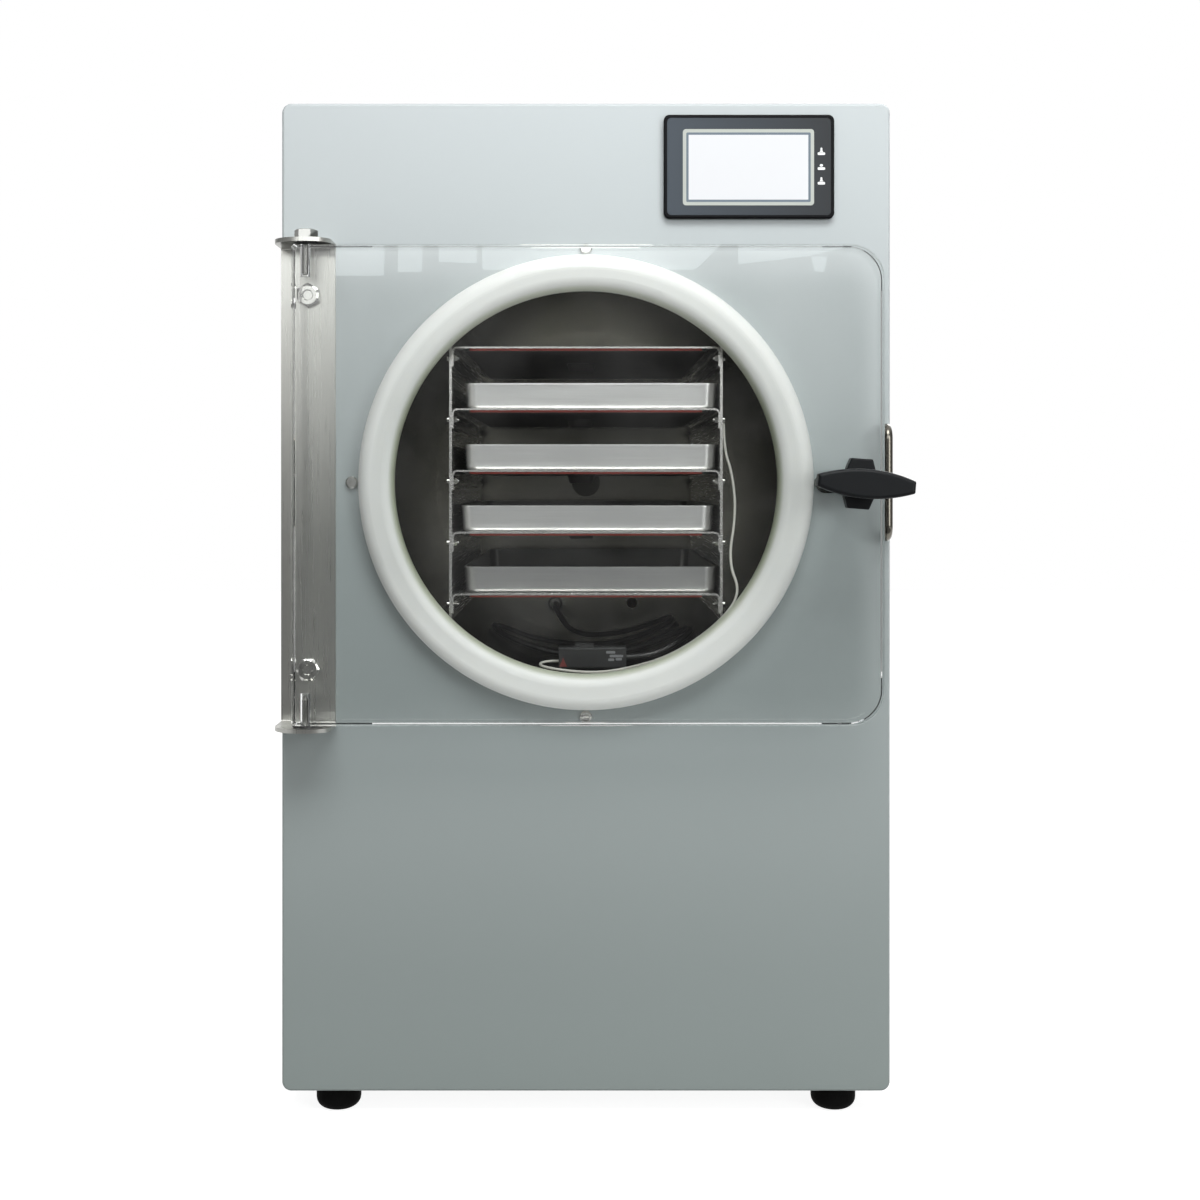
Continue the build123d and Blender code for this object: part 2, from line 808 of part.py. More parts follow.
with BuildPart() as drum_insulation:
    with BuildSketch(chamber_plane):
        with BuildLine():
            Polyline(
                (insulation_inner, flange_rear_y), (insulation_outer, flange_rear_y),
                (insulation_outer, insulation_rear_y), (0, insulation_rear_y),
                (0, drum_rear_y), (insulation_inner, drum_rear_y), close=True,
            )
        make_face()
    revolve(axis=chamber_axis)
    with BuildSketch(facing_front(insulation_rear_y)):
        with Locations((0, chamber_z)):
            Circle(port_radius + rack_clearance)
        with Locations((drain_x, drain_z)):
            Circle(drain_pipe_radius + rack_clearance)
        with Locations((gland_x, drain_z)):
            Circle(gland_radius + rack_clearance)
    extrude(amount=insulation_thickness, mode=Mode.SUBTRACT)
    with BuildSketch(Plane.XY.offset(chamber_z - insulation_outer)):
        with Locations(suction_port, liquid_port):
            Circle(boss_radius + 1.0)
    extrude(amount=2 * insulation_thickness, mode=Mode.SUBTRACT)
drum_insulation.part.label = "drum_insulation"
export_step(drum_insulation.part, "parts/drum_insulation.step")

with BuildPart() as drum_saddles:
    for from_front in saddle_from_front:
        with BuildSketch(facing_front(front_y + from_front)):
            with Locations((0, deck_z)):
                Rectangle(saddle_width, saddle_height, align=(Align.CENTER, Align.MIN))
            with Locations((0, chamber_z)):
                Circle(insulation_outer, mode=Mode.SUBTRACT)
        extrude(amount=-saddle_thickness)
drum_saddles.part.label = "drum_saddles"
export_step(drum_saddles.part, "parts/drum_saddles.step")

# The deck is an inverted channel whose side walls have open windows.
deck_half_width = inner_x - deck_side_gap
with BuildPart() as deck_frame:
    with BuildSketch(facing_front(front_y + deck_start)):
        with BuildLine():
            Polyline(
                (-deck_half_width, floor_z), (-deck_half_width, deck_z),
                (deck_half_width, deck_z), (deck_half_width, floor_z),
                (deck_half_width - deck_foot, floor_z),
                (deck_half_width - deck_foot, floor_z + deck_sheet),
                (deck_half_width - deck_sheet, floor_z + deck_sheet),
                (deck_half_width - deck_sheet, deck_z - deck_sheet),
                (-deck_half_width + deck_sheet, deck_z - deck_sheet),
                (-deck_half_width + deck_sheet, floor_z + deck_sheet),
                (-deck_half_width + deck_foot, floor_z + deck_sheet),
                (-deck_half_width + deck_foot, floor_z), close=True,
            )
        make_face()
    extrude(amount=-deck_depth)
    with BuildSketch(Plane.YZ.offset(-cabinet_width)):
        with Locations((front_y + deck_start + deck_depth / 2, (floor_z + deck_z) / 2)):
            with GridLocations(deck_depth / 2, 0, 2, 1):
                RectangleRounded(
                    deck_depth / 2 - deck_window_post,
                    deck_z - floor_z - 2 * deck_window_rail,
                    deck_window_corner,
                )
    extrude(amount=2 * cabinet_width, mode=Mode.SUBTRACT)
    with BuildSketch(Plane.XY.offset(deck_z)):
        with Locations(suction_port, liquid_port):
            Circle(boss_radius + 4.0)
    extrude(amount=-deck_sheet, mode=Mode.SUBTRACT)
deck_frame.part.label = "deck_frame"
export_step(deck_frame.part, "parts/deck_frame.step")

# The seal is a D-section ring pushed over the drum's lip.
with BuildPart() as door_gasket:
    with BuildSketch(chamber_plane) as seal_section:
        with Locations(((seal_inner_radius + seal_outer_radius) / 2, front_y - seal_height / 2)):
            Rectangle(seal_outer_radius - seal_inner_radius, seal_height)
        fillet(seal_section.vertices().group_by(Axis.Y)[0], seal_round)
        with Locations(((drum_inner_radius + drum_outer_radius) / 2, front_y)):
            Rectangle(
                drum_wall + 2 * seal_fit,
                2 * (drum_lip + seal_fit),
                mode=Mode.SUBTRACT,
            )
    revolve(axis=chamber_axis)
door_gasket.part.label = "door_gasket"
export_step(door_gasket.part, "parts/door_gasket.step")

with BuildPart() as panel_screws:
    panel_screw = pan_head_screw(
        screw_head_radius, screw_head_height, screw_radius, screw_length, screw_socket
    )
    for quarter in range(4):
        angle = radians(90 * quarter)
        with Locations(out_of_front(
            screw_circle_radius * cos(angle), front_y,
            chamber_z + screw_circle_radius * sin(angle),
        )):
            add(panel_screw)
panel_screws.part.label = "panel_screws"
export_step(panel_screws.part, "parts/panel_screws.step")

# ---------------------------------------------------------------- shelf rack

screw_rows = [z - shelf_screw_drop for z in shelf_tops]
screw_columns = [rack_front_y + shelf_screw_inset, rack_rear_y - shelf_screw_inset]

for name, side in (("rack_side_left", -1), ("rack_side_right", 1)):
    with BuildPart() as rack_side:
        with BuildSketch(Plane.YZ.offset(side * rack_half_width)):
            with Locations(((rack_front_y + rack_rear_y) / 2, chamber_z)):
                RectangleRounded(rack_depth, 2 * rack_half_height, rack_corner)
            with Locations(*[(y, z) for y in screw_columns for z in screw_rows]):
                Circle(rack_screw_radius, mode=Mode.SUBTRACT)
        extrude(amount=-side * rack_sheet)
    rack_side.part.label = name
    export_step(rack_side.part, f"parts/{name}.step")

# Each shelf is a channel: its long edges fold down inside the side plates.
for number, shelf_z in enumerate(shelf_tops, start=1):
    with BuildPart() as shelf:
        with BuildSketch(facing_front(rack_front_y)) as shelf_section:
            with Locations((0, shelf_z)):
                Rectangle(2 * shelf_half_width, shelf_drop, align=(Align.CENTER, Align.MAX))
            fillet(shelf_section.vertices().group_by(Axis.Y)[-1], shelf_bend)
            with BuildSketch(mode=Mode.SUBTRACT) as shelf_inside:
                with Locations((0, shelf_z - shelf_sheet)):
                    Rectangle(
                        2 * (shelf_half_width - shelf_sheet),
                        shelf_drop,
                        align=(Align.CENTER, Align.MAX),
                    )
                fillet(shelf_inside.vertices().group_by(Axis.Y)[-1], shelf_bend - shelf_sheet)
        extrude(amount=-rack_depth)
        screw_row_z = shelf_z - shelf_screw_drop
        with BuildSketch(Plane.YZ.offset(-rack_half_width)):
            with Locations(*[(y, screw_row_z) for y in screw_columns]):
                Circle(rack_screw_radius)
        extrude(amount=2 * rack_half_width, mode=Mode.SUBTRACT)
    shelf.part.label = f"shelf_{number}"
    export_step(shelf.part, f"parts/shelf_{number}.step")

    with BuildPart() as heater_mat:
        with BuildSketch(Plane.XY.offset(shelf_z - shelf_sheet)):
            with Locations((0, (rack_front_y + rack_rear_y) / 2)):
                RectangleRounded(mat_width, rack_depth - 2 * mat_margin, mat_corner)
        extrude(amount=-mat_thickness)
        with BuildSketch(Plane.XY.offset(shelf_z - shelf_sheet - mat_thickness)):
            with Locations((mat_exit_x, rack_front_y + mat_exit_from_front)):
                SlotOverall(mat_exit_length, mat_exit_width)
        extrude(amount=-mat_exit_height, taper=mat_exit_taper)
    heater_mat.part.label = f"heater_mat_{number}"
    export_step(heater_mat.part, f"parts/heater_mat_{number}.step")

rack_screw_grip = rack_sheet + shelf_sheet
with BuildPart() as rack_screws:
    for side in (-1, 1):
        for y in screw_columns:
            for z in screw_rows:
                head_plane = Plane(
                    origin=(side * rack_half_width, y, z), x_dir=(0, 1, 0), z_dir=(side, 0, 0)
                )
                nut_plane = head_plane.offset(-rack_screw_grip)
                with BuildSketch(head_plane):
                    Circle(rack_screw_head)
                extrude(amount=rack_screw_head_height)
                with BuildSketch(head_plane):
                    Circle(rack_screw_radius)
                extrude(amount=-rack_screw_length)
                with BuildSketch(nut_plane):
                    RegularPolygon(rack_screw_head, 6)
                extrude(amount=-rack_nut_height)
rack_screws.part.label = "rack_screws"
export_step(rack_screws.part, "parts/rack_screws.step")

# ---------------------------------------------------------------- trays

def drawn_form(x, y, z, inset):
    """The tray's outside, or with an inset its hollow: drafted, with a rounded base edge."""
    width = tray_width - 2 * tray_rim - 2 * inset
    length = tray_length - 2 * tray_rim - 2 * inset
    with BuildPart() as form:
        with BuildSketch(Plane.XY.offset(z + inset)):
            with Locations((x, y)):
                RectangleRounded(
                    width - 2 * tray_draft, length - 2 * tray_draft, tray_corner - inset
                )
        with BuildSketch(Plane.XY.offset(z + tray_height)):
            with Locations((x, y)):
                RectangleRounded(width, length, tray_corner - inset)
        loft()
        fillet(form.faces().sort_by(Axis.Z)[0].edges(), tray_base_round - inset)
    return form.part


# Drawn trays: drafted walls, a rounded base edge and a small rolled rim.
for number in range(1, tray_count + 1):
    tray_place = (
        tray_shift[number - 1],
        rack_front_y + tray_setback + tray_length / 2,
        shelf_tops[number],
    )
    with BuildPart() as tray:
        add(drawn_form(*tray_place, inset=0.0))
        with BuildSketch(Plane.XY.offset(tray_place[2] + tray_height)):
            with Locations(tray_place[:2]):
                RectangleRounded(tray_width, tray_length, tray_corner + tray_rim)
        extrude(amount=-tray_rim_height)
        add(drawn_form(*tray_place, inset=tray_sheet), mode=Mode.SUBTRACT)
    tray.part.label = f"tray_{number}"
    export_step(tray.part, f"parts/tray_{number}.step")

# ---------------------------------------------------------------- chamber leads

drum_floor = drum_inner_radius - rack_clearance
connector_right_x = connector_x + connector_length / 2
connector_y = front_y + connector_from_front
connector_floor_z = chamber_z - sqrt(drum_floor**2 - connector_right_x**2)
connector_z = connector_floor_z + connector_height / 2
gland_front_y = front_y + drum_depth - gland_length

with BuildPart() as cable_connector:
    with Locations((connector_x, connector_y, connector_z)):
        Box(connector_length, connector_depth, connector_height)
    fillet(cable_connector.edges().filter_by(Axis.X), connector_round)
    tab_place = (connector_x + connector_tab_shift, connector_y, connector_z + connector_height / 2)
    with Locations(tab_place):
        Box(*connector_tab, align=(Align.CENTER, Align.CENTER, Align.MIN))
cable_connector.part.label = "cable_connector"
export_step(cable_connector.part, "parts/cable_connector.step")

with BuildPart() as cable_gland:
    with BuildSketch(facing_front(front_y + drum_depth)):
        with Locations((gland_x, drain_z)):
            RegularPolygon(gland_radius, 6, major_radius=False)
    extrude(amount=gland_hex)
    with BuildSketch(facing_front(front_y + drum_depth)):
        with Locations((gland_x, drain_z)):
            Circle(gland_nose_radius)
    extrude(amount=gland_length)
    chamfer(cable_gland.faces().sort_by(Axis.Y)[0].edges(), gland_chamfer)
cable_gland.part.label = "cable_gland"
export_step(cable_gland.part, "parts/cable_gland.step")


def on_drum_floor(x, from_front, lift):
    """A point above the drum's curved floor: x, distance behind the front panel."""
    return (x, front_y + from_front, chamber_z - sqrt((drum_floor - lift) ** 2 - x**2))


def cord(name, points, radius):
    """A lead of straight runs joined by tangent arcs; prints its radii and its length."""
    radii = bend_radii(points)
    with BuildPart() as lead:
        with BuildLine() as route:
            FilletPolyline(*points, radius=radii)
        start_plane = Plane(origin=route.line @ 0, z_dir=route.line % 0)
        with BuildSketch(start_plane):
            Circle(radius)
        sweep()
    length = route.wire().length
    section = pi * radius**2
    print(name, "radii", [round(r, 1) for r in radii], "length", round(length, 1))
    print(name, "volume over section times length", round(lead.part.volume / section / length, 4))
    return lead.part


harness_lift = harness_radius + 0.4
gland_to_floor = (gland_x, gland_front_y, drain_z)
harness_points = [
    gland_to_floor,
    (gland_x, front_y + 346.0, drain_z),
    on_drum_floor(-12.0, 318.0, harness_lift),
    on_drum_floor(38.0, 302.0, harness_lift),
    on_drum_floor(80.0, 270.0, harness_lift),
    on_drum_floor(72.0, 224.0, harness_lift),
    on_drum_floor(24.0, 210.0, harness_lift),
    on_drum_floor(-36.0, 210.0, harness_lift),
    on_drum_floor(-82.0, 180.0, harness_lift),
    on_drum_floor(-70.0, 134.0, harness_lift),
    on_drum_floor(-22.0, 124.0, harness_lift),
    on_drum_floor(36.0, 124.0, harness_lift),
    on_drum_floor(84.0, 104.0, harness_lift),
    on_drum_floor(82.0, 56.0, harness_lift + 1.0),
    (connector_right_x + 22.0, connector_y, connector_z),
    (connector_right_x, connector_y, connector_z),
]
harness_cable = cord("harness_cable", harness_points, harness_radius)
harness_cable.label = "harness_cable"
export_step(harness_cable, "parts/harness_cable.step")

# The lead climbs outside the right side plate and ends under a screw head.
lead_lift = lead_radius + 0.5
lead_start_z = connector_z - 3.0
lead_x = rack_half_width + lead_radius + rack_clearance
lead_y = screw_columns[0] - 1.0
lead_end_z = screw_rows[1] - rack_screw_head - rack_clearance
lead_points = [
    (connector_x - connector_length / 2, connector_y, lead_start_z),
    (connector_x - connector_length / 2 - 13.0, connector_y, lead_start_z),
    on_drum_floor(connector_x - connector_length / 2 - 15.0, 24.0, lead_lift),
    on_drum_floor(4.0, 19.0, lead_lift),
    on_drum_floor(34.0, 21.0, lead_lift),
    on_drum_floor(66.0, 5.0, lead_lift),
    on_drum_floor(98.0, 3.5, lead_lift),
    (117.0, front_y + 6.0, chamber_z - 84.0),
    (107.5, front_y + 15.0, chamber_z - 60.0),
    (114.0, front_y + 20.0, chamber_z - 24.0),
    (111.5, front_y + 21.5, chamber_z + 6.0),
    (lead_x, lead_y, chamber_z + 26.0),
    (lead_x, lead_y, lead_end_z),
]
heater_lead = cord("heater_lead", lead_points, lead_radius)
heater_lead.label = "heater_lead"
export_step(heater_lead, "parts/heater_lead.step")

# ---------------------------------------------------------------- door

with BuildPart() as door_plate:
    with BuildSketch(facing_front(door_rear_y)) as door_outline:
        with Locations((door_left + door_width / 2, door_z)):
            Rectangle(door_width, door_height)
        fillet(door_outline.vertices().group_by(Axis.X)[-1], door_corner)
        fillet(door_outline.vertices().group_by(Axis.X)[0], door_hinge_corner)
    extrude(amount=door_thickness)
    chamfer(door_plate.faces().sort_by(Axis.Y)[0].edges(), door_edge_chamfer)
    chamfer(door_plate.faces().sort_by(Axis.Y)[-1].edges(), door_edge_chamfer)
    for bore_z, inward in ((door_top_z, -1), (door_bottom_z, 1)):
        with BuildSketch(Plane.XY.offset(bore_z)):
            with Locations((pivot_x, pivot_y)):
                Circle(pin_radius + pin_fit)
        extrude(amount=inward * (pin_length + pin_end_gap), mode=Mode.SUBTRACT)
    with BuildSketch(facing_front(door_rear_y)):
        with Locations((latch_x, latch_z)):
            Circle(bushing_radius)
    extrude(amount=door_thickness, mode=Mode.SUBTRACT)
door_plate.part.label = "door_plate"
export_step(door_plate.part, "parts/door_plate.step")

with BuildPart() as latch_bushing:
    with BuildSketch(facing_front(door_rear_y)):
        with Locations((latch_x, latch_z)):
            Circle(bushing_radius)
    extrude(amount=door_thickness)
    with BuildSketch(facing_front(door_front_y)):
        with Locations((latch_x, latch_z)):
            Circle(bushing_flange_radius)
    extrude(amount=bushing_flange)
    with BuildSketch(facing_front(door_rear_y)):
        with Locations((latch_x, latch_z)):
            Circle(spindle_radius + spindle_fit)
    extrude(amount=2 * door_thickness, mode=Mode.SUBTRACT)
latch_bushing.part.label = "latch_bushing"
export_step(latch_bushing.part, "parts/latch_bushing.step")

# ---------------------------------------------------------------- latch

arm_rear_y = front_y - arm_gap
arm_front_y = arm_rear_y - arm_thickness
knob_rear_y = door_front_y - bushing_flange - knob_clearance
knob_front_y = door_front_y - knob_reach
lug_front_y = knob_rear_y - knob_lug_thickness
wing_rear_y = knob_front_y + knob_wing_thickness
spindle_front_y = lug_front_y - spindle_grip
spindle_rear_y = arm_rear_y + arm_nut_height + spindle_tail


def knob_plane(y):
    """A sketch plane at depth y, centred on the latch and turned with the knob."""
    tilt = radians(knob_tilt)
    return Plane(origin=(latch_x, y, latch_z), x_dir=(cos(tilt), 0, sin(tilt)), z_dir=(0, -1, 0))


with BuildPart() as latch_shaft:
    with BuildSketch(facing_front(spindle_rear_y)):
        with Locations((latch_x, latch_z)):
            Circle(spindle_radius)
    extrude(amount=spindle_rear_y - spindle_front_y)
    chamfer(latch_shaft.faces().sort_by(Axis.Y)[-1].edges(), spindle_chamfer)
    with BuildSketch(facing_front(arm_rear_y)):
        with Locations((latch_x, latch_z)):
            RegularPolygon(arm_nut_radius, 6, major_radius=False)
    extrude(amount=-arm_nut_height)
latch_shaft.part.label = "latch_shaft"
export_step(latch_shaft.part, "parts/latch_shaft.step")

# While the latch is open the arm points away from the keeper; its boss spaces it off the door.
with BuildPart() as latch_arm:
    with BuildSketch(facing_front(arm_rear_y)):
        with Locations((latch_x, latch_z)):
            Circle(arm_collar_radius)
            Rectangle(arm_length - arm_width / 2, arm_width, align=(Align.MAX, Align.CENTER))
        with Locations((latch_x - arm_length + arm_width / 2, latch_z)):
            Circle(arm_width / 2)
    extrude(amount=arm_thickness)
    with BuildSketch(facing_front(arm_front_y)):
        with Locations((latch_x, latch_z)):
            Circle(arm_collar_radius)
    extrude(amount=arm_front_y - door_rear_y - knob_clearance)
    with BuildSketch(facing_front(arm_rear_y)):
        with Locations((latch_x, latch_z)):
            Circle(spindle_radius)
    extrude(amount=door_thickness, mode=Mode.SUBTRACT)
latch_arm.part.label = "latch_arm"
export_step(latch_arm.part, "parts/latch_arm.step")

half_wing = knob_wing_length / 2
half_tip = knob_tip_height / 2
half_height = knob_wing_height / 2

# The knob: a lens-shaped wing on a neck, in front of two short tapered lugs.
with BuildPart() as knob:
    with BuildSketch(knob_plane(knob_rear_y)) as lug_outline:
        with BuildLine():
            Polyline(
                (-knob_lug_end_width / 2, knob_lug_height / 2),
                (knob_lug_end_width / 2, knob_lug_height / 2),
                (knob_lug_width / 2, half_height),
                (knob_lug_width / 2, -half_height),
                (knob_lug_end_width / 2, -knob_lug_height / 2),
                (-knob_lug_end_width / 2, -knob_lug_height / 2),
                (-knob_lug_width / 2, -half_height),
                (-knob_lug_width / 2, half_height), close=True,
            )
        make_face()
        fillet(lug_outline.vertices(), knob_lug_round)
    extrude(amount=knob_lug_thickness)
    fillet(knob.faces().sort_by(Axis.Y)[0].edges(), knob_lug_round)
    with BuildSketch(facing_front(lug_front_y)):
        with Locations((latch_x, latch_z)):
            Circle(knob_neck_radius)
    extrude(amount=lug_front_y - wing_rear_y)
    with BuildSketch(knob_plane(wing_rear_y)) as wing_outline:
        with BuildLine():
            ThreePointArc((-half_wing, half_tip), (0, half_height), (half_wing, half_tip))
            Line((half_wing, half_tip), (half_wing, -half_tip))
            ThreePointArc((half_wing, -half_tip), (0, -half_height), (-half_wing, -half_tip))
            Line((-half_wing, -half_tip), (-half_wing, half_tip))
        make_face()
        fillet(wing_outline.vertices(), knob_wing_end_round)
    extrude(amount=knob_wing_thickness)
    fillet(knob.faces().sort_by(Axis.Y)[0].edges(), knob_wing_round)
    with BuildSketch(facing_front(knob_rear_y)):
        with Locations((latch_x, latch_z)):
            Circle(spindle_radius)
    extrude(amount=knob_rear_y - spindle_front_y, mode=Mode.SUBTRACT)
knob.part.label = "knob"
export_step(knob.part, "parts/knob.step")

# The keeper is a bent rod welded to the front panel beside the door.
keeper_half = keeper_height / 2 - keeper_rod
with BuildPart() as latch_keeper:
    with BuildLine() as keeper_route:
        FilletPolyline(
            (keeper_x, front_y, chamber_z + keeper_half),
            (keeper_x, front_y - keeper_reach, chamber_z + keeper_half),
            (keeper_x, front_y - keeper_reach, chamber_z - keeper_half),
            (keeper_x, front_y, chamber_z - keeper_half),
            radius=keeper_bend,
        )
    with BuildSketch(Plane(origin=keeper_route.line @ 0, z_dir=keeper_route.line % 0)):
        Circle(keeper_rod)
    sweep()
latch_keeper.part.label = "latch_keeper"
export_step(latch_keeper.part, "parts/latch_keeper.step")

# ---------------------------------------------------------------- touch panel

display_z = chamber_z + display_rise
display_face_width = display_width - 2 * display_rim
display_face_height = display_height - 2 * display_rim

with BuildPart() as display_case:
    with BuildSketch(facing_front(front_y)):
        with Locations((display_x, display_z)):
            RectangleRounded(display_width, display_height, display_corner)
    extrude(amount=display_proud)
    fillet(display_case.faces().sort_by(Axis.Y)[0].edges(), display_round)
    with BuildSketch(facing_front(front_y)):
        with Locations((display_x, display_z)):
            Rectangle(display_case_width, display_case_height)
    extrude(amount=-display_case_depth)
    with BuildSketch(facing_front(front_y - display_proud)):
        with Locations((display_x, display_z)):
            RectangleRounded(
                display_face_width, display_face_height, display_corner - display_rim / 2
            )
    extrude(amount=-display_glass, mode=Mode.SUBTRACT)
display_case.part.label = "display_case"
export_step(display_case.part, "parts/display_case.step")

with BuildPart() as display_screen:
    with BuildSketch(facing_front(front_y - display_proud + display_glass)):
        with Locations((display_x, display_z)):
            RectangleRounded(
                display_face_width - 2 * display_glass_fit,
                display_face_height - 2 * display_glass_fit,
                display_corner - display_rim / 2,
            )
    extrude(amount=display_glass - display_glass_drop)
display_screen.part.label = "display_screen"
export_step(display_screen.part, "parts/display_screen.step")

# ---------------------------------------------------------------- refrigeration

compressor_y = front_y + compressor_from_front
plate_z = floor_z + grommet_height - plate_sink
can_z = plate_z + compressor_plate
grommet_places = [
    (compressor_x + x * grommet_spacing[0] / 2, compressor_y + y * grommet_spacing[1] / 2)
    for x in (-1, 1)
    for y in (-1, 1)
]

with BuildPart() as compressor:
    with BuildSketch(Plane.XY.offset(plate_z)):
        with Locations((compressor_x, compressor_y)):
            RectangleRounded(*compressor_foot, compressor_foot_corner)
        with Locations(*grommet_places):
            Circle(grommet_neck + rack_clearance, mode=Mode.SUBTRACT)
    extrude(amount=compressor_plate)
    with BuildSketch(Plane.XZ.offset(-compressor_y)) as can_section:
        with Locations((compressor_x, can_z)):
            Rectangle(
                compressor_radius, compressor_height, align=(Align.MIN, Align.MIN)
            )
        fillet(can_section.vertices().group_by(Axis.X)[-1], compressor_dome)
        with Locations((compressor_x, can_z + compressor_seam_rise)):
            Rectangle(
                compressor_radius + compressor_seam, compressor_seam_height,
                align=(Align.MIN, Align.CENTER),
            )
    revolve(axis=Axis((compressor_x, compressor_y, 0), (0, 0, 1)))
compressor.part.label = "compressor"
export_step(compressor.part, "parts/compressor.step")

with BuildPart() as compressor_grommets:
    with BuildSketch(Plane.XZ) as grommet_section:
        with BuildLine():
            Polyline(
                (0, 0), (grommet_radius, 0), (grommet_radius, plate_z - floor_z),
                (grommet_neck, plate_z - floor_z), (grommet_neck, can_z - floor_z + grommet_lip),
                (0, can_z - floor_z + grommet_lip), close=True,
            )
        make_face()
    with Locations(*[(x, y, floor_z) for x, y in grommet_places]):
        add(revolve(grommet_section.sketch, axis=Axis.Z, mode=Mode.PRIVATE))
compressor_grommets.part.label = "compressor_grommets"
export_step(compressor_grommets.part, "parts/compressor_grommets.step")

shroud_rear_y = wrapper_rear_y
shroud_front_y = shroud_rear_y - fan_depth

with BuildPart() as fan_shroud:
    with BuildSketch(facing_front(shroud_rear_y)):
        with Locations((fan_x, fan_z)):
            RectangleRounded(fan_frame, fan_frame, fan_frame_corner)
            Circle(fan_opening, mode=Mode.SUBTRACT)
            with GridLocations(*[fan_frame - 2 * fan_screw_inset] * 2, 2, 2):
                Circle(fan_screw_radius, mode=Mode.SUBTRACT)
    extrude(amount=fan_depth)
    with BuildSketch(facing_front(shroud_front_y)):
        with Locations((fan_x, fan_z)):
            Circle(fan_motor_radius)
            with PolarLocations((fan_hub_radius + fan_opening) / 2, 3, start_angle=30):
                Rectangle(fan_opening - fan_hub_radius + fan_strut, fan_strut)
    extrude(amount=-fan_motor_depth / 2)
    with BuildSketch(facing_front(shroud_front_y)):
        with Locations((fan_x, fan_z)):
            Circle(fan_shaft_radius)
    extrude(amount=-(fan_motor_depth / 2 + fan_running_gap + fan_hub_depth - fan_hub_nose - 1.0))
fan_shroud.part.label = "fan_shroud"
export_step(fan_shroud.part, "parts/fan_shroud.step")

rotor_front_y = shroud_front_y + fan_motor_depth / 2 + fan_running_gap
blade_root = fan_hub_radius - fan_blade_sheet

# Each blade is lofted from a steep root section to a flatter tip section.
with BuildPart() as fan_rotor:
    with BuildSketch(facing_front(rotor_front_y)):
        with Locations((fan_x, fan_z)):
            Circle(fan_hub_radius)
    extrude(amount=-fan_hub_depth)
    with BuildPart(mode=Mode.PRIVATE) as blade:
        for distance, pitch_angle, chord in (
            (blade_root, fan_root_pitch, fan_root_chord),
            (fan_tip_radius, fan_tip_pitch, fan_tip_chord),
        ):
            with BuildSketch(Plane.XY.offset(distance)):
                with Locations(Location((0, 0), pitch_angle)):
                    Rectangle(chord, fan_blade_sheet)
        loft(ruled=True)
    for index in range(fan_blades):
        blade_place = Location(
            (fan_x, rotor_front_y + fan_hub_depth / 2, fan_z), (0, 360 / fan_blades * index, 0)
        )
        with Locations(blade_place):
            add(blade.part)
    with BuildSketch(facing_front(rotor_front_y)):
        with Locations((fan_x, fan_z)):
            Circle(fan_shaft_radius + fan_shaft_fit)
    extrude(amount=-(fan_hub_depth - fan_hub_nose), mode=Mode.SUBTRACT)
fan_rotor.part.label = "fan_rotor"
export_step(fan_rotor.part, "parts/fan_rotor.step")

condenser_rear_y = shroud_front_y - condenser_gap
condenser_y = condenser_rear_y - condenser_depth / 2
condenser_top_z = floor_z + condenser_height
with BuildPart() as condenser:
    with Locations((fan_x, condenser_y, floor_z)):
        Box(
            condenser_width, condenser_depth, condenser_height,
            align=(Align.CENTER, Align.CENTER, Align.MIN),
        )
    with BuildSketch(facing_front(condenser_rear_y)):
        with Locations((fan_x, floor_z + condenser_height / 2)):
            with GridLocations(condenser_fin_pitch, 0, condenser_fins, 1):
                Rectangle(condenser_slot, condenser_height - 2 * condenser_edge)
    extrude(amount=condenser_slot_depth, mode=Mode.SUBTRACT)
    for row in range(condenser_rows):
        bend_z = floor_z + condenser_first_row + row * condenser_row_pitch
        with BuildSketch(Plane.YZ.offset(fan_x + condenser_width / 2)):
            with Locations((condenser_y, bend_z)):
                Circle(tube_radius)
        revolve(
            axis=Axis((fan_x + condenser_width / 2, condenser_y, bend_z + condenser_bend), (0, 1, 0)),
            revolution_arc=-180,
        )
condenser.part.label = "condenser"
export_step(condenser.part, "parts/condenser.step")


def copper_line(points, radius):
    """A copper tube that follows its route with one radius at every bend."""
    with BuildPart() as line:
        with BuildLine() as route:
            FilletPolyline(*points, radius=tube_bend)
        with BuildSketch(Plane(origin=route.line @ 0, z_dir=route.line % 0)):
            Circle(radius)
        sweep()
    return line.part


can_top_z = can_z + compressor_height
discharge_line = copper_line(
    [
        (compressor_x + can_port_x, compressor_y, can_top_z),
        (compressor_x + can_port_x, compressor_y, can_top_z + discharge_rise),
        (fan_x - condenser_port_x, compressor_y, can_top_z + discharge_rise),
        (fan_x - condenser_port_x, condenser_y, can_top_z + discharge_rise),
        (fan_x - condenser_port_x, condenser_y, condenser_top_z),
    ],
    tube_radius,
)
discharge_line.label = "discharge_line"
export_step(discharge_line, "parts/discharge_line.step")

suction_line = copper_line(
    [
        (compressor_x - can_port_x, compressor_y, can_top_z),
        (compressor_x - can_port_x, compressor_y, can_top_z + suction_rise),
        (compressor_x - can_port_x, suction_port[1], can_top_z + suction_rise),
        (*suction_port, can_top_z + suction_rise),
        (*suction_port, boss_z),
    ],
    tube_radius,
)
suction_line.label = "suction_line"
export_step(suction_line, "parts/suction_line.step")

liquid_line = copper_line(
    [
        (fan_x + condenser_port_x, condenser_y, condenser_top_z),
        (fan_x + condenser_port_x, condenser_y, condenser_top_z + liquid_rise),
        (fan_x + condenser_port_x, liquid_port[1], condenser_top_z + liquid_rise),
        (*liquid_port, condenser_top_z + liquid_rise),
        (*liquid_port, boss_z),
    ],
    liquid_tube_radius,
)
liquid_line.label = "liquid_line"
export_step(liquid_line, "parts/liquid_line.step")

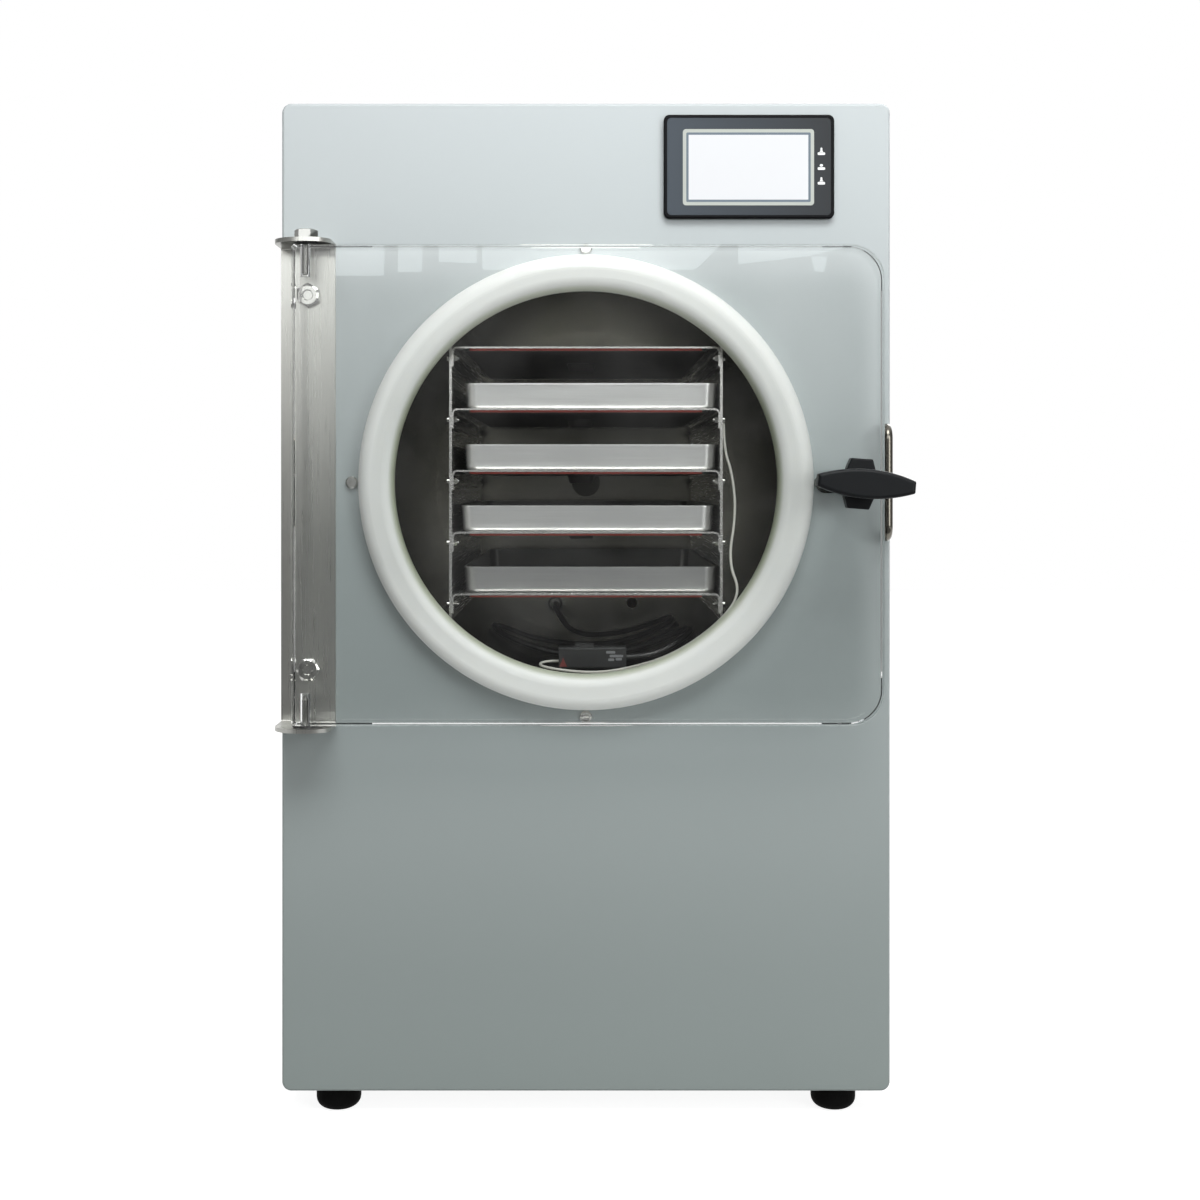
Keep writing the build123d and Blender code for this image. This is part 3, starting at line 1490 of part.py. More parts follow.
# ---------------------------------------------------------------- rear connections

intake_y = front_y + drum_depth - intake_reach

# Inside the drum the port ends in a cap, and draws through slots round its side.
with BuildPart() as vacuum_port:
    with BuildSketch(chamber_plane):
        with BuildLine():
            Polyline(
                (0, intake_y), (port_radius, intake_y),
                (port_radius, rear_y + port_reach - port_flange - port_cone),
                (port_flange_radius, rear_y + port_reach - port_flange),
                (port_flange_radius, rear_y + port_reach),
                (port_bore, rear_y + port_reach), (port_bore, intake_y + intake_cap),
                (0, intake_y + intake_cap), close=True,
            )
        make_face()
    revolve(axis=chamber_axis)
    for turn in (0, 60, 120):
        slot_plane = Plane(
            origin=(0, intake_y + intake_cap, chamber_z),
            x_dir=(cos(radians(turn)), 0, sin(radians(turn))), z_dir=(0, -1, 0),
        )
        with BuildSketch(slot_plane):
            Rectangle(4 * port_radius, intake_slot)
        extrude(amount=-intake_slot, mode=Mode.SUBTRACT)
vacuum_port.part.label = "vacuum_port"
export_step(vacuum_port.part, "parts/vacuum_port.step")

valve_y = rear_y + valve_from_rear
barb_top_z = drain_z - valve_height / 2
stem_x = drain_x + valve_width / 2

# The drain pipe runs out to a ball valve whose barb points down.
with BuildPart() as drain_valve:
    with BuildSketch(facing_front(drum_rear_y)):
        with Locations((drain_x, drain_z)):
            Circle(drain_pipe_radius)
    extrude(amount=-(valve_y - drum_rear_y))
    with Locations((drain_x, valve_y, drain_z)):
        Box(valve_width, valve_depth, valve_height)
    chamfer(drain_valve.edges().group_by(Axis.Y)[-1], valve_chamfer)
    with BuildSketch(Plane.XY.offset(barb_top_z)):
        with Locations((drain_x, valve_y)):
            Circle(barb_radius)
    extrude(amount=-barb_length)
    with BuildSketch(facing_front(drum_rear_y)):
        with Locations((drain_x, drain_z)):
            Circle(drain_bore)
    extrude(amount=-(valve_y - drum_rear_y), mode=Mode.SUBTRACT)
    with BuildSketch(Plane.XY.offset(barb_top_z - barb_length)):
        with Locations((drain_x, valve_y)):
            Circle(barb_bore)
    extrude(amount=drain_z - barb_top_z + barb_length, mode=Mode.SUBTRACT)
    with BuildSketch(Plane.YZ.offset(stem_x)):
        with Locations((valve_y, drain_z)):
            Circle(stem_radius)
    extrude(amount=stem_reach)
drain_valve.part.label = "drain_valve"
export_step(drain_valve.part, "parts/drain_valve.step")

# The lever turns on the valve's stem: along the barb it is open, across it is shut.
with BuildPart() as drain_lever:
    with BuildSketch(Plane.YZ.offset(stem_x + lever_gap)):
        with Locations((valve_y, drain_z)):
            Circle(lever_boss_radius)
        with Locations((valve_y, drain_z)):
            Rectangle(lever_width, lever_length, align=(Align.CENTER, Align.MIN))
        with Locations((valve_y, drain_z + lever_length)):
            Circle(lever_width / 2)
        with Locations((valve_y, drain_z)):
            Circle(stem_radius + stem_fit, mode=Mode.SUBTRACT)
    extrude(amount=lever_sheet)
drain_lever.part.label = "drain_lever"
export_step(drain_lever.part, "parts/drain_lever.step")

rocker_z = inlet_z + inlet_height / 2 - rocker_height / 2 - inlet_margin
socket_z = inlet_z - inlet_height / 2 + socket_from_edge
rocker_pivot_y = rear_y - rocker_pivot_depth
rocker_pivot_reach = rocker_width / 2 + rocker_pivot_radius

with BuildPart() as power_inlet:
    with BuildSketch(facing_front(rear_y)):
        with Locations((inlet_x, inlet_z)):
            RectangleRounded(inlet_width, inlet_height, inlet_corner)
    extrude(amount=-inlet_plate)
    with BuildSketch(facing_front(rear_y)):
        with Locations((inlet_x, inlet_z)):
            Rectangle(inlet_body_width, inlet_body_height)
    extrude(amount=inlet_body_depth)
    with BuildSketch(facing_front(rear_y + inlet_plate)):
        with Locations((inlet_x, rocker_z)):
            Rectangle(rocker_width, rocker_height)
        with Locations((inlet_x, socket_z)):
            RectangleRounded(socket_width, socket_height, socket_corner)
    extrude(amount=socket_depth, mode=Mode.SUBTRACT)
    with BuildSketch(facing_front(rear_y + inlet_plate - socket_depth)):
        with Locations(*[(inlet_x + x, socket_z + z) for x, z in contact_places]):
            Rectangle(contact_width, contact_height)
    extrude(amount=-contact_length)
    with BuildSketch(Plane.YZ.offset(inlet_x)):
        with Locations((rocker_pivot_y, rocker_z)):
            Circle(rocker_pivot_radius + rocker_pivot_fit)
    extrude(amount=rocker_pivot_reach + rocker_gap, both=True, mode=Mode.SUBTRACT)
power_inlet.part.label = "power_inlet"
export_step(power_inlet.part, "parts/power_inlet.step")

rocker_lean = radians(rocker_tilt)
rocker_half = rocker_height / 2 - rocker_gap - rocker_crest * sin(rocker_lean)
rocker_plane = Plane(
    origin=(inlet_x - rocker_width / 2 + rocker_gap, rocker_pivot_y, rocker_z),
    x_dir=(0, cos(rocker_lean), sin(rocker_lean)),
    z_dir=(1, 0, 0),
)

# The rocker is a wedge on two pivot pins; at rest it leans to its off side.
with BuildPart() as power_rocker:
    with BuildSketch(rocker_plane):
        with BuildLine():
            Polyline(
                (rocker_root, -rocker_root_half), (rocker_shoulder, -rocker_half),
                (rocker_crest, -rocker_half), (rocker_valley, 0),
                (rocker_crest, rocker_half), (rocker_shoulder, rocker_half),
                (rocker_root, rocker_root_half), close=True,
            )
        make_face()
    extrude(amount=rocker_width - 2 * rocker_gap)
    with BuildSketch(Plane.YZ.offset(inlet_x)):
        with Locations((rocker_pivot_y, rocker_z)):
            Circle(rocker_pivot_radius)
    extrude(amount=rocker_pivot_reach, both=True)
power_rocker.part.label = "power_rocker"
export_step(power_rocker.part, "parts/power_rocker.step")

with BuildPart() as rear_screws:
    rear_screw = pan_head_screw(
        rear_screw_head, rear_screw_head_height, rear_screw_radius, rear_screw_length,
        rear_screw_socket,
    )
    for x, z in rear_screw_places:
        with Locations(out_of_rear(x, rear_y, z)):
            add(rear_screw)
rear_screws.part.label = "rear_screws"
export_step(rear_screws.part, "parts/rear_screws.step")

with BuildPart() as control_box:
    with Locations((box_x, front_y + box_from_front + box_depth / 2, top_z - sheet)):
        Box(box_width, box_depth, box_height, align=(Align.CENTER, Align.CENTER, Align.MAX))
    chamfer(control_box.edges().filter_by(Axis.Y).group_by(Axis.Z)[0], box_chamfer)
control_box.part.label = "control_box"
export_step(control_box.part, "parts/control_box.step")
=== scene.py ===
from math import cos, pi, sin, sqrt

import bmesh
import bpy
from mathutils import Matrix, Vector


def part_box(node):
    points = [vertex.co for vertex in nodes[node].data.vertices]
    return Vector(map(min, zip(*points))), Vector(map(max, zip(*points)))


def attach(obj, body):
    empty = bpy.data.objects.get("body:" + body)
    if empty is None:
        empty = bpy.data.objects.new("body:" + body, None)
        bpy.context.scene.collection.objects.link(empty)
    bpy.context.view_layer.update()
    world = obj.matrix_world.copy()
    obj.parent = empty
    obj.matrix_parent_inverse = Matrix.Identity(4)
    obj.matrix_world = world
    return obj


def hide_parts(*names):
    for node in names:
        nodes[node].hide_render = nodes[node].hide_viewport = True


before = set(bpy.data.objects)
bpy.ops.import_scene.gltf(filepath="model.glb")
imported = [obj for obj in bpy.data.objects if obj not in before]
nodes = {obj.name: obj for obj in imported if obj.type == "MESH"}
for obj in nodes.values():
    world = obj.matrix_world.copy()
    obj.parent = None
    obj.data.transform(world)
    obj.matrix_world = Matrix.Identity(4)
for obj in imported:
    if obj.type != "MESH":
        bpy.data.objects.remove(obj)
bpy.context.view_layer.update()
scene = bpy.context.scene

# ---------------------------------------------------------------- places, from the frame

MM = 0.001
panel_low, panel_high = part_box("front_panel")
seal_low, seal_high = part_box("door_gasket")
screen_low, screen_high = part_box("display_screen")
connector_low, connector_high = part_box("cable_connector")
gland_low, gland_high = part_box("cable_gland")
drum_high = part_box("chamber_drum")[1]
second_shelf_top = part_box("shelf_2")[1].z
mat_front_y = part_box("heater_mat_1")[0].y
tray_front_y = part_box("tray_1")[0].y

front_y = panel_low.y
chamber_z = (seal_low.z + seal_high.z) / 2
drum_wall = 3.0 * MM
drum_rear_face = drum_high.y - drum_wall
drum_inner_radius = 147.0  # mm
drum_floor = drum_inner_radius - 0.3  # with a little air over the steel
screw_column_y = front_y + 23.0 * MM  # the rack's front column of screws


def link(name, data):
    """Put new data into the scene as an object."""
    made = bpy.data.objects.new(name, data)
    scene.collection.objects.link(made)
    return made


# ---------------------------------------------------------------- camera

eye_distance = 1.30
sensor_width = 36.0
focal_length = 51.8
frame_shift_x, frame_shift_y = 0.0117, -0.098

camera_data = bpy.data.cameras.new("camera")
camera_data.sensor_width = sensor_width
camera_data.lens = focal_length
camera_data.shift_x = frame_shift_x
camera_data.shift_y = frame_shift_y
camera = link("camera", camera_data)
camera.location = (0.0, front_y - eye_distance, chamber_z)
camera.rotation_euler = (pi / 2, 0.0, 0.0)
scene.camera = camera
scene.view_settings.view_transform = "Standard"


# ---------------------------------------------------------------- chamber leads

def above_drum_floor(x, from_front, lift):
    """A point over the drum's curved floor: x, distance behind the front panel and lift in mm."""
    drop = sqrt((drum_floor - lift) ** 2 - x**2)
    return (x * MM, front_y + from_front * MM, chamber_z - drop * MM)


def round_lead(name, points, diameter):
    """A lead on one smooth spline through the given control points."""
    curve = bpy.data.curves.new(name, "CURVE")
    curve.dimensions = "3D"
    spline = curve.splines.new("NURBS")
    spline.points.add(len(points) - 1)
    for control, place in zip(spline.points, points):
        control.co = (*place, 1.0)
        control.radius = diameter / 2
    spline.order_u = 3
    spline.use_endpoint_u = True
    spline.resolution_u = 8
    curve.bevel_depth = 1.0
    curve.bevel_resolution = 4
    curve.use_fill_caps = True
    lead = link(name, curve)
    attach(lead, "cabinet")
    return lead


harness_diameter, lead_diameter = 5.0, 2.0  # mm
harness_lift = harness_diameter / 2 + 0.4  # from the floor to the middle, with a little air
lead_lift = lead_diameter / 2 + 0.5
gland_x = (gland_low.x + gland_high.x) / 2
gland_z = (gland_low.z + gland_high.z) / 2
connector_height = 17.0 * MM
connector_y = (connector_low.y + connector_high.y) / 2
connector_z = connector_low.z + connector_height / 2
connector_left_x, connector_right_x = connector_low.x, connector_high.x

harness_points = [
    (gland_x, gland_low.y, gland_z),
    (gland_x, front_y + 346.0 * MM, gland_z),
    above_drum_floor(-12.0, 318.0, harness_lift),
    above_drum_floor(38.0, 302.0, harness_lift),
    above_drum_floor(80.0, 270.0, harness_lift),
    above_drum_floor(72.0, 224.0, harness_lift),
    above_drum_floor(24.0, 210.0, harness_lift),
    above_drum_floor(-36.0, 210.0, harness_lift),
    above_drum_floor(-82.0, 180.0, harness_lift),
    above_drum_floor(-70.0, 134.0, harness_lift),
    above_drum_floor(-22.0, 124.0, harness_lift),
    above_drum_floor(36.0, 124.0, harness_lift),
    above_drum_floor(84.0, 104.0, harness_lift),
    above_drum_floor(82.0, 56.0, harness_lift + 1.0),
    (connector_right_x + 22.0 * MM, connector_y, connector_z),
    (connector_right_x, connector_y, connector_z),
]
harness = round_lead("harness_lead", harness_points, harness_diameter * MM)
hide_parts("harness_cable")

shelf_screw_drop = 8.4 * MM
screw_head_reach = 2.7 * MM  # a rack screw's head and the air under it
lead_start_z = connector_z - 3.0 * MM
lead_x = 104.8 * MM  # just outside the rack's right side
lead_rise_y = screw_column_y - 1.0 * MM
lead_end_z = second_shelf_top - shelf_screw_drop - screw_head_reach
heater_points = [
    (connector_left_x, connector_y, lead_start_z),
    (connector_left_x - 13.0 * MM, connector_y, lead_start_z),
    above_drum_floor(connector_left_x / MM - 15.0, 24.0, lead_lift),
    above_drum_floor(4.0, 19.0, lead_lift),
    above_drum_floor(34.0, 21.0, lead_lift),
    above_drum_floor(66.0, 5.0, lead_lift),
    above_drum_floor(98.0, 3.5, lead_lift),
    (117.0 * MM, front_y + 6.0 * MM, chamber_z - 84.0 * MM),
    (107.5 * MM, front_y + 15.0 * MM, chamber_z - 60.0 * MM),
    (114.0 * MM, front_y + 20.0 * MM, chamber_z - 24.0 * MM),
    (111.5 * MM, front_y + 21.5 * MM, chamber_z + 6.0 * MM),
    (lead_x, lead_rise_y, chamber_z + 26.0 * MM),
    (lead_x, lead_rise_y, lead_end_z),
]
heater = round_lead("heater_wire", heater_points, lead_diameter * MM)
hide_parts("heater_lead")


# ---------------------------------------------------------------- shader groups

SURFACE_OUTPUTS = [
    ("Color", "NodeSocketColor"), ("Roughness", "NodeSocketFloat"), ("Height", "NodeSocketFloat"),
]


def new_group(name, inputs, outputs):
    """A shader group with inputs (name, default) and outputs (name, socket type)."""
    group = bpy.data.node_groups.new(name, "ShaderNodeTree")
    for label, default in inputs:
        kind = "NodeSocketColor" if isinstance(default, tuple) else "NodeSocketFloat"
        socket = group.interface.new_socket(label, in_out="INPUT", socket_type=kind)
        socket.default_value = default
    for label, kind in outputs:
        group.interface.new_socket(label, in_out="OUTPUT", socket_type=kind)
    return group, group.nodes.new("NodeGroupInput"), group.nodes.new("NodeGroupOutput")


def feed(tree, socket, value):
    """Give a socket a fixed value, or wire another node's output into it."""
    if isinstance(value, (int, float, tuple)):
        socket.default_value = value
    else:
        tree.links.new(value, socket)


def math_node(tree, operation, first, second=None):
    """The result of one sum, on one value where second is left out."""
    node = tree.nodes.new("ShaderNodeMath")
    node.operation = operation
    for socket, value in zip(node.inputs, (first, second)):
        if value is not None:
            feed(tree, socket, value)
    return node.outputs[0]


def ramp_between(tree, value, low, high, to_low, to_high):
    """Stretch the range low to high onto to_low to to_high, and hold it at both ends."""
    node = tree.nodes.new("ShaderNodeMapRange")
    feed(tree, node.inputs["Value"], value)
    for label, number in (
        ("From Min", low), ("From Max", high), ("To Min", to_low), ("To Max", to_high)
    ):
        feed(tree, node.inputs[label], number)
    return node.outputs["Result"]


def blend_colors(tree, factor, first, second):
    """The first colour at factor 0, the second at factor 1."""
    node = tree.nodes.new("ShaderNodeMix")
    node.data_type = "RGBA"
    for label, value in (("Factor", factor), ("A", first), ("B", second)):
        feed(tree, node.inputs[label], value)
    return node.outputs["Result"]


def scale_color(tree, color, factor):
    """A colour made lighter or darker by a factor."""
    node = tree.nodes.new("ShaderNodeVectorMath")
    node.operation = "SCALE"
    tree.links.new(color, node.inputs[0])
    tree.links.new(factor, node.inputs["Scale"])
    return node.outputs[0]


def noise_field(tree, vector, scale, detail=2.0, roughness=0.5):
    """Cloudy noise between 0 and 1."""
    node = tree.nodes.new("ShaderNodeTexNoise")
    tree.links.new(vector, node.inputs["Vector"])
    feed(tree, node.inputs["Scale"], scale)
    node.inputs["Detail"].default_value = detail
    node.inputs["Roughness"].default_value = roughness
    return node.outputs["Fac"]


def round_zero(tree, value, amount):
    """A 0 to 1 value moved to swing round zero by half of amount each way."""
    centred = math_node(tree, "SUBTRACT", value, 0.5)
    return math_node(tree, "MULTIPLY", centred, amount)


def spread_noise(tree, noise, to_low, to_high):
    """Noise, which mostly lies between 0.3 and 0.7, spread from to_low to to_high."""
    return ramp_between(tree, noise, 0.3, 0.7, to_low, to_high)


def surface_place(tree):
    """Where on the piece the surface is, in metres."""
    return tree.nodes.new("ShaderNodeTexCoord").outputs["Object"]


def split_place(tree, place):
    """The X, Y and Z outputs of a place."""
    split = tree.nodes.new("ShaderNodeSeparateXYZ")
    tree.links.new(place, split.inputs[0])
    return split.outputs


def powder_coat_group():
    """Sprayed enamel: fine orange peel and faint tone drift, with painted shade that darkens it
    from its lit top to its foot.
    """
    group, given, result = new_group(
        "powder_coat",
        [("Lit Top Color", (0.6, 0.65, 0.65, 1.0)), ("Shaded Foot Color", (0.3, 0.33, 0.33, 1.0)),
         ("Foot Height", 0.0), ("Top Height", 0.76), ("Drift", 0.02)],
        SURFACE_OUTPUTS,
    )
    place = surface_place(group)
    height = split_place(group, place)["Z"]
    rise = group.nodes.new("ShaderNodeMapRange")
    group.links.new(height, rise.inputs["Value"])
    group.links.new(given.outputs["Foot Height"], rise.inputs["From Min"])
    group.links.new(given.outputs["Top Height"], rise.inputs["From Max"])
    tone = blend_colors(
        group, rise.outputs["Result"], given.outputs["Shaded Foot Color"], given.outputs["Lit Top Color"]
    )
    cloud = noise_field(group, place, scale=6.0, detail=3.0)
    shift = math_node(group, "MULTIPLY", given.outputs["Drift"], 2.0)
    lift = math_node(group, "ADD", round_zero(group, cloud, shift), 1.0)
    group.links.new(scale_color(group, tone, lift), result.inputs["Color"])
    speckle = noise_field(group, place, scale=900.0)
    group.links.new(spread_noise(group, speckle, 0.30, 0.42), result.inputs["Roughness"])
    peel = noise_field(group, place, scale=420.0, detail=1.5)
    group.links.new(peel, result.inputs["Height"])
    return group


def brushed_grain_group():
    """Sanding lines along one axis: streaks in tone, roughness and height."""
    group, given, result = new_group(
        "brushed_grain",
        [("Color", (0.6, 0.6, 0.6, 1.0)), ("Across X", 900.0), ("Across Y", 900.0),
         ("Across Z", 900.0), ("Streak", 0.15), ("Roughness", 0.3), ("Spread", 0.12)],
        SURFACE_OUTPUTS,
    )
    place = surface_place(group)
    stretch = group.nodes.new("ShaderNodeCombineXYZ")
    for axis in "XYZ":
        group.links.new(given.outputs[f"Across {axis}"], stretch.inputs[axis])
    warped = group.nodes.new("ShaderNodeVectorMath")
    warped.operation = "MULTIPLY"
    group.links.new(place, warped.inputs[0])
    group.links.new(stretch.outputs[0], warped.inputs[1])
    lines = noise_field(group, warped.outputs[0], scale=1.0, detail=3.0, roughness=0.6)
    cloud = noise_field(group, place, scale=14.0, detail=3.0)
    streaks = round_zero(group, lines, given.outputs["Streak"])
    haze = round_zero(group, cloud, 0.12)
    tone = math_node(group, "ADD", math_node(group, "ADD", streaks, haze), 1.0)
    group.links.new(scale_color(group, given.outputs["Color"], tone), result.inputs["Color"])
    swing = round_zero(group, lines, given.outputs["Spread"])
    swing = math_node(group, "ADD", swing, given.outputs["Roughness"])
    group.links.new(swing, result.inputs["Roughness"])
    group.links.new(lines, result.inputs["Height"])
    return group


def moulded_skin_group():
    """Moulded plastic or rubber: fine spark texture, scuffs and a little dust."""
    group, given, result = new_group(
        "moulded_skin",
        [("Color", (0.03, 0.03, 0.03, 1.0)), ("Dust Color", (0.16, 0.16, 0.15, 1.0)),
         ("Dust", 0.2), ("Grain Scale", 1200.0), ("Roughness", 0.5)],
        SURFACE_OUTPUTS,
    )
    place = surface_place(group)
    cloud = noise_field(group, place, scale=38.0, detail=4.0, roughness=0.6)
    mask = ramp_between(group, cloud, 0.52, 0.78, 0.0, 1.0)
    mask = math_node(group, "MULTIPLY", mask, given.outputs["Dust"])
    tone = blend_colors(group, mask, given.outputs["Color"], given.outputs["Dust Color"])
    group.links.new(tone, result.inputs["Color"])
    grain = noise_field(group, place, given.outputs["Grain Scale"])
    dulled = math_node(group, "MULTIPLY", mask, 0.2)
    rough = math_node(group, "ADD", given.outputs["Roughness"], dulled)
    rough = math_node(group, "ADD", rough, spread_noise(group, grain, -0.04, 0.04))
    group.links.new(rough, result.inputs["Roughness"])
    group.links.new(grain, result.inputs["Height"])
    return group


def zone_tint_group():
    """A second colour past a stated distance, along Y or out from the chamber's axis."""
    group, given, result = new_group(
        "zone_tint",
        [("Color", (0.5, 0.5, 0.5, 1.0)), ("Zone Color", (0.3, 0.3, 0.3, 1.0)),
         ("Axis X", 0.0), ("Axis Z", 0.0), ("Outward", 0.0), ("Start", 0.0), ("End", 0.001)],
        [("Color", "NodeSocketColor")],
    )
    axes = split_place(group, surface_place(group))
    across = math_node(group, "SUBTRACT", axes["X"], given.outputs["Axis X"])
    above = math_node(group, "SUBTRACT", axes["Z"], given.outputs["Axis Z"])
    across = math_node(group, "MULTIPLY", across, across)
    above = math_node(group, "MULTIPLY", above, above)
    out = math_node(group, "SQRT", math_node(group, "ADD", across, above))
    out = math_node(group, "MULTIPLY", out, given.outputs["Outward"])
    deep = math_node(group, "SUBTRACT", 1.0, given.outputs["Outward"])
    deep = math_node(group, "MULTIPLY", axes["Y"], deep)
    distance = math_node(group, "ADD", out, deep)
    step = group.nodes.new("ShaderNodeMapRange")
    step.interpolation_type = "SMOOTHSTEP"
    group.links.new(distance, step.inputs["Value"])
    group.links.new(given.outputs["Start"], step.inputs["From Min"])
    group.links.new(given.outputs["End"], step.inputs["From Max"])
    tone = blend_colors(
        group, step.outputs["Result"], given.outputs["Color"], given.outputs["Zone Color"]
    )
    group.links.new(tone, result.inputs["Color"])
    return group


powder_coat = powder_coat_group()
zone_tint = zone_tint_group()
brushed_grain = brushed_grain_group()
moulded_skin = moulded_skin_group()


# ---------------------------------------------------------------- materials

def start_material(name):
    """A new material, its node tree and its Principled shader."""
    material = bpy.data.materials.new(name)
    material.use_nodes = True
    return material, material.node_tree, material.node_tree.nodes["Principled BSDF"]


def set_inputs(node, values):
    """Set a node's inputs by their labels."""
    for label, value in values.items():
        node.inputs[label].default_value = value


def place_group(tree, group, values):
    """Use a shader group in a material, with the material's own values."""
    node = tree.nodes.new("ShaderNodeGroup")
    node.node_tree = group
    set_inputs(node, values)
    return node


def wire_surface(tree, surface, source, bump_distance, bump_strength):
    """Colour, roughness and height of a group into the material's own shader."""
    tree.links.new(source.outputs["Color"], surface.inputs["Base Color"])
    tree.links.new(source.outputs["Roughness"], surface.inputs["Roughness"])
    bump = tree.nodes.new("ShaderNodeBump")
    set_inputs(bump, {"Strength": bump_strength, "Distance": bump_distance})
    tree.links.new(source.outputs["Height"], bump.inputs["Height"])
    tree.links.new(bump.outputs["Normal"], surface.inputs["Normal"])


def enamel(name, top, foot):
    """Cabinet paint with painted shade, from its shaded colour at the floor to its lit colour at
    the cabinet's top.
    """
    material, tree, surface = start_material(name)
    source = place_group(tree, powder_coat, {
        "Lit Top Color": (*top, 1.0), "Shaded Foot Color": (*foot, 1.0),
        "Foot Height": 0.0, "Top Height": panel_high.z, "Drift": 0.015,
    })
    wire_surface(tree, surface, source, bump_distance=0.00002, bump_strength=0.18)
    set_inputs(surface, {"Specular IOR Level": 0.4, "Coat Weight": 0.12, "Coat Roughness": 0.25})
    return material


def brushed_metal(name, color, grain, roughness=0.3, streak=0.15, spread=0.12, bump=0.000012,
                  one_way=0.0, metallic=1.0):
    """Metal with sanding lines or patches.

    grain is how fast the tone changes along X, Y and Z, per metre. one_way stretches the gloss
    across upright sanding lines.
    """
    material, tree, surface = start_material(name)
    source = place_group(tree, brushed_grain, {
        "Color": (*color, 1.0), "Across X": grain[0], "Across Y": grain[1],
        "Across Z": grain[2], "Streak": streak, "Roughness": roughness, "Spread": spread,
    })
    wire_surface(tree, surface, source, bump_distance=bump, bump_strength=0.5)
    surface.inputs["Metallic"].default_value = metallic
    if one_way:
        across = tree.nodes.new("ShaderNodeTangent")
        across.direction_type = "RADIAL"
        across.axis = "Z"
        tree.links.new(across.outputs[0], surface.inputs["Tangent"])
        surface.inputs["Anisotropic"].default_value = one_way
    return material


def moulded(name, color, roughness=0.5, dust=0.15, dust_color=(0.16, 0.16, 0.15),
            grain=1200.0, bump=0.00004, coat=0.0, subsurface=0.0, specular=0.5):
    """Plastic, rubber or foam. Without dust its colour is the same all over."""
    material, tree, surface = start_material(name)
    source = place_group(tree, moulded_skin, {
        "Color": (*color, 1.0), "Dust Color": (*dust_color, 1.0), "Dust": dust,
        "Grain Scale": grain, "Roughness": roughness,
    })
    wire_surface(tree, surface, source, bump_distance=bump, bump_strength=0.5)
    if not dust:
        tree.links.remove(surface.inputs["Base Color"].links[0])
        surface.inputs["Base Color"].default_value = (*color, 1.0)
    set_inputs(surface, {"Specular IOR Level": specular, "Coat Weight": coat})
    if subsurface:
        set_inputs(surface, {
            "Subsurface Weight": subsurface, "Subsurface Radius": (1.0, 0.95, 0.85),
            "Subsurface Scale": 6.0 * MM,
        })
    return material


def zoned(material, zone_color, start, end, outward=0.0):
    """Change a material's colour between two depths, or two radii round the chamber's axis."""
    tree = material.node_tree
    surface = tree.nodes["Principled BSDF"]
    before = surface.inputs["Base Color"].links[0].from_socket
    zone = place_group(tree, zone_tint, {
        "Zone Color": (*zone_color, 1.0), "Axis X": 0.0, "Axis Z": chamber_z,
        "Outward": outward, "Start": start, "End": end,
    })
    tree.links.new(before, zone.inputs["Color"])
    tree.links.new(zone.outputs["Color"], surface.inputs["Base Color"])
    return material


def painted_glow(material, tint, near, far, strength):
    """Painted light: a glow on the part, growing above and below the chamber's axis, where its top
    and bottom look brighter.
    """
    tree = material.node_tree
    surface = tree.nodes["Principled BSDF"]
    height = split_place(tree, surface_place(tree))["Z"]
    rise = math_node(tree, "ABSOLUTE", math_node(tree, "SUBTRACT", height, chamber_z))
    shine = ramp_between(tree, rise, near, far, 0.0, strength)
    tree.links.new(shine, surface.inputs["Emission Strength"])
    surface.inputs["Emission Color"].default_value = (*tint, 1.0)
    return material


def clear_sheet(name, tint, shade):
    """Clear acrylic: glass to the eye, and a light tint to the light that falls through it."""
    material, tree, surface = start_material(name)
    set_inputs(surface, {
        "Base Color": (*tint, 1.0), "Roughness": 0.0, "IOR": 1.49, "Transmission Weight": 1.0,
    })
    output = tree.nodes["Material Output"]
    through = tree.nodes.new("ShaderNodeBsdfTransparent")
    through.inputs["Color"].default_value = (*shade, 1.0)
    rays = tree.nodes.new("ShaderNodeLightPath")
    either = math_node(
        tree, "MAXIMUM", rays.outputs["Is Shadow Ray"], rays.outputs["Is Diffuse Ray"]
    )
    mix = tree.nodes.new("ShaderNodeMixShader")
    tree.links.new(either, mix.inputs["Fac"])
    tree.links.new(surface.outputs[0], mix.inputs[1])
    tree.links.new(through.outputs[0], mix.inputs[2])
    tree.links.new(mix.outputs[0], output.inputs["Surface"])
    return material


# How fast a metal's tone changes along X, Y and Z, per metre. Sanding lines run along the slow
# axis, and zinc has patches.
SLOW, FAST, PATCH = 14.0, 1500.0, 60.0
ALONG_X = (SLOW, FAST, FAST)
ALONG_Y = (FAST, SLOW, FAST)
ALONG_Z = (FAST, FAST, SLOW)
PATCHY = (PATCH, PATCH, PATCH)

# Distances from the chamber's axis: the hinge bolts' shaded pins and bright heads, and the seal's
# inner edge with the end of its inner tint.
pin_shade_end, pin_head_start = 270.5 * MM, 272.5 * MM
seal_inner_radius, seal_tint_end = 143.0 * MM, 147.2 * MM

# Painted shade: the enamel darkens from top to foot, standing in for light that falls from above.
cabinet_paint = enamel("cabinet_enamel", top=(0.50, 0.545, 0.555), foot=(0.24, 0.28, 0.27))
bright_steel = brushed_metal(
    "bolt_steel", (0.46, 0.46, 0.44), ALONG_Y, roughness=0.13, streak=0.06, spread=0.05
)
keeper_steel = brushed_metal("keeper_steel", (0.15, 0.14, 0.12), ALONG_Z, roughness=0.20)
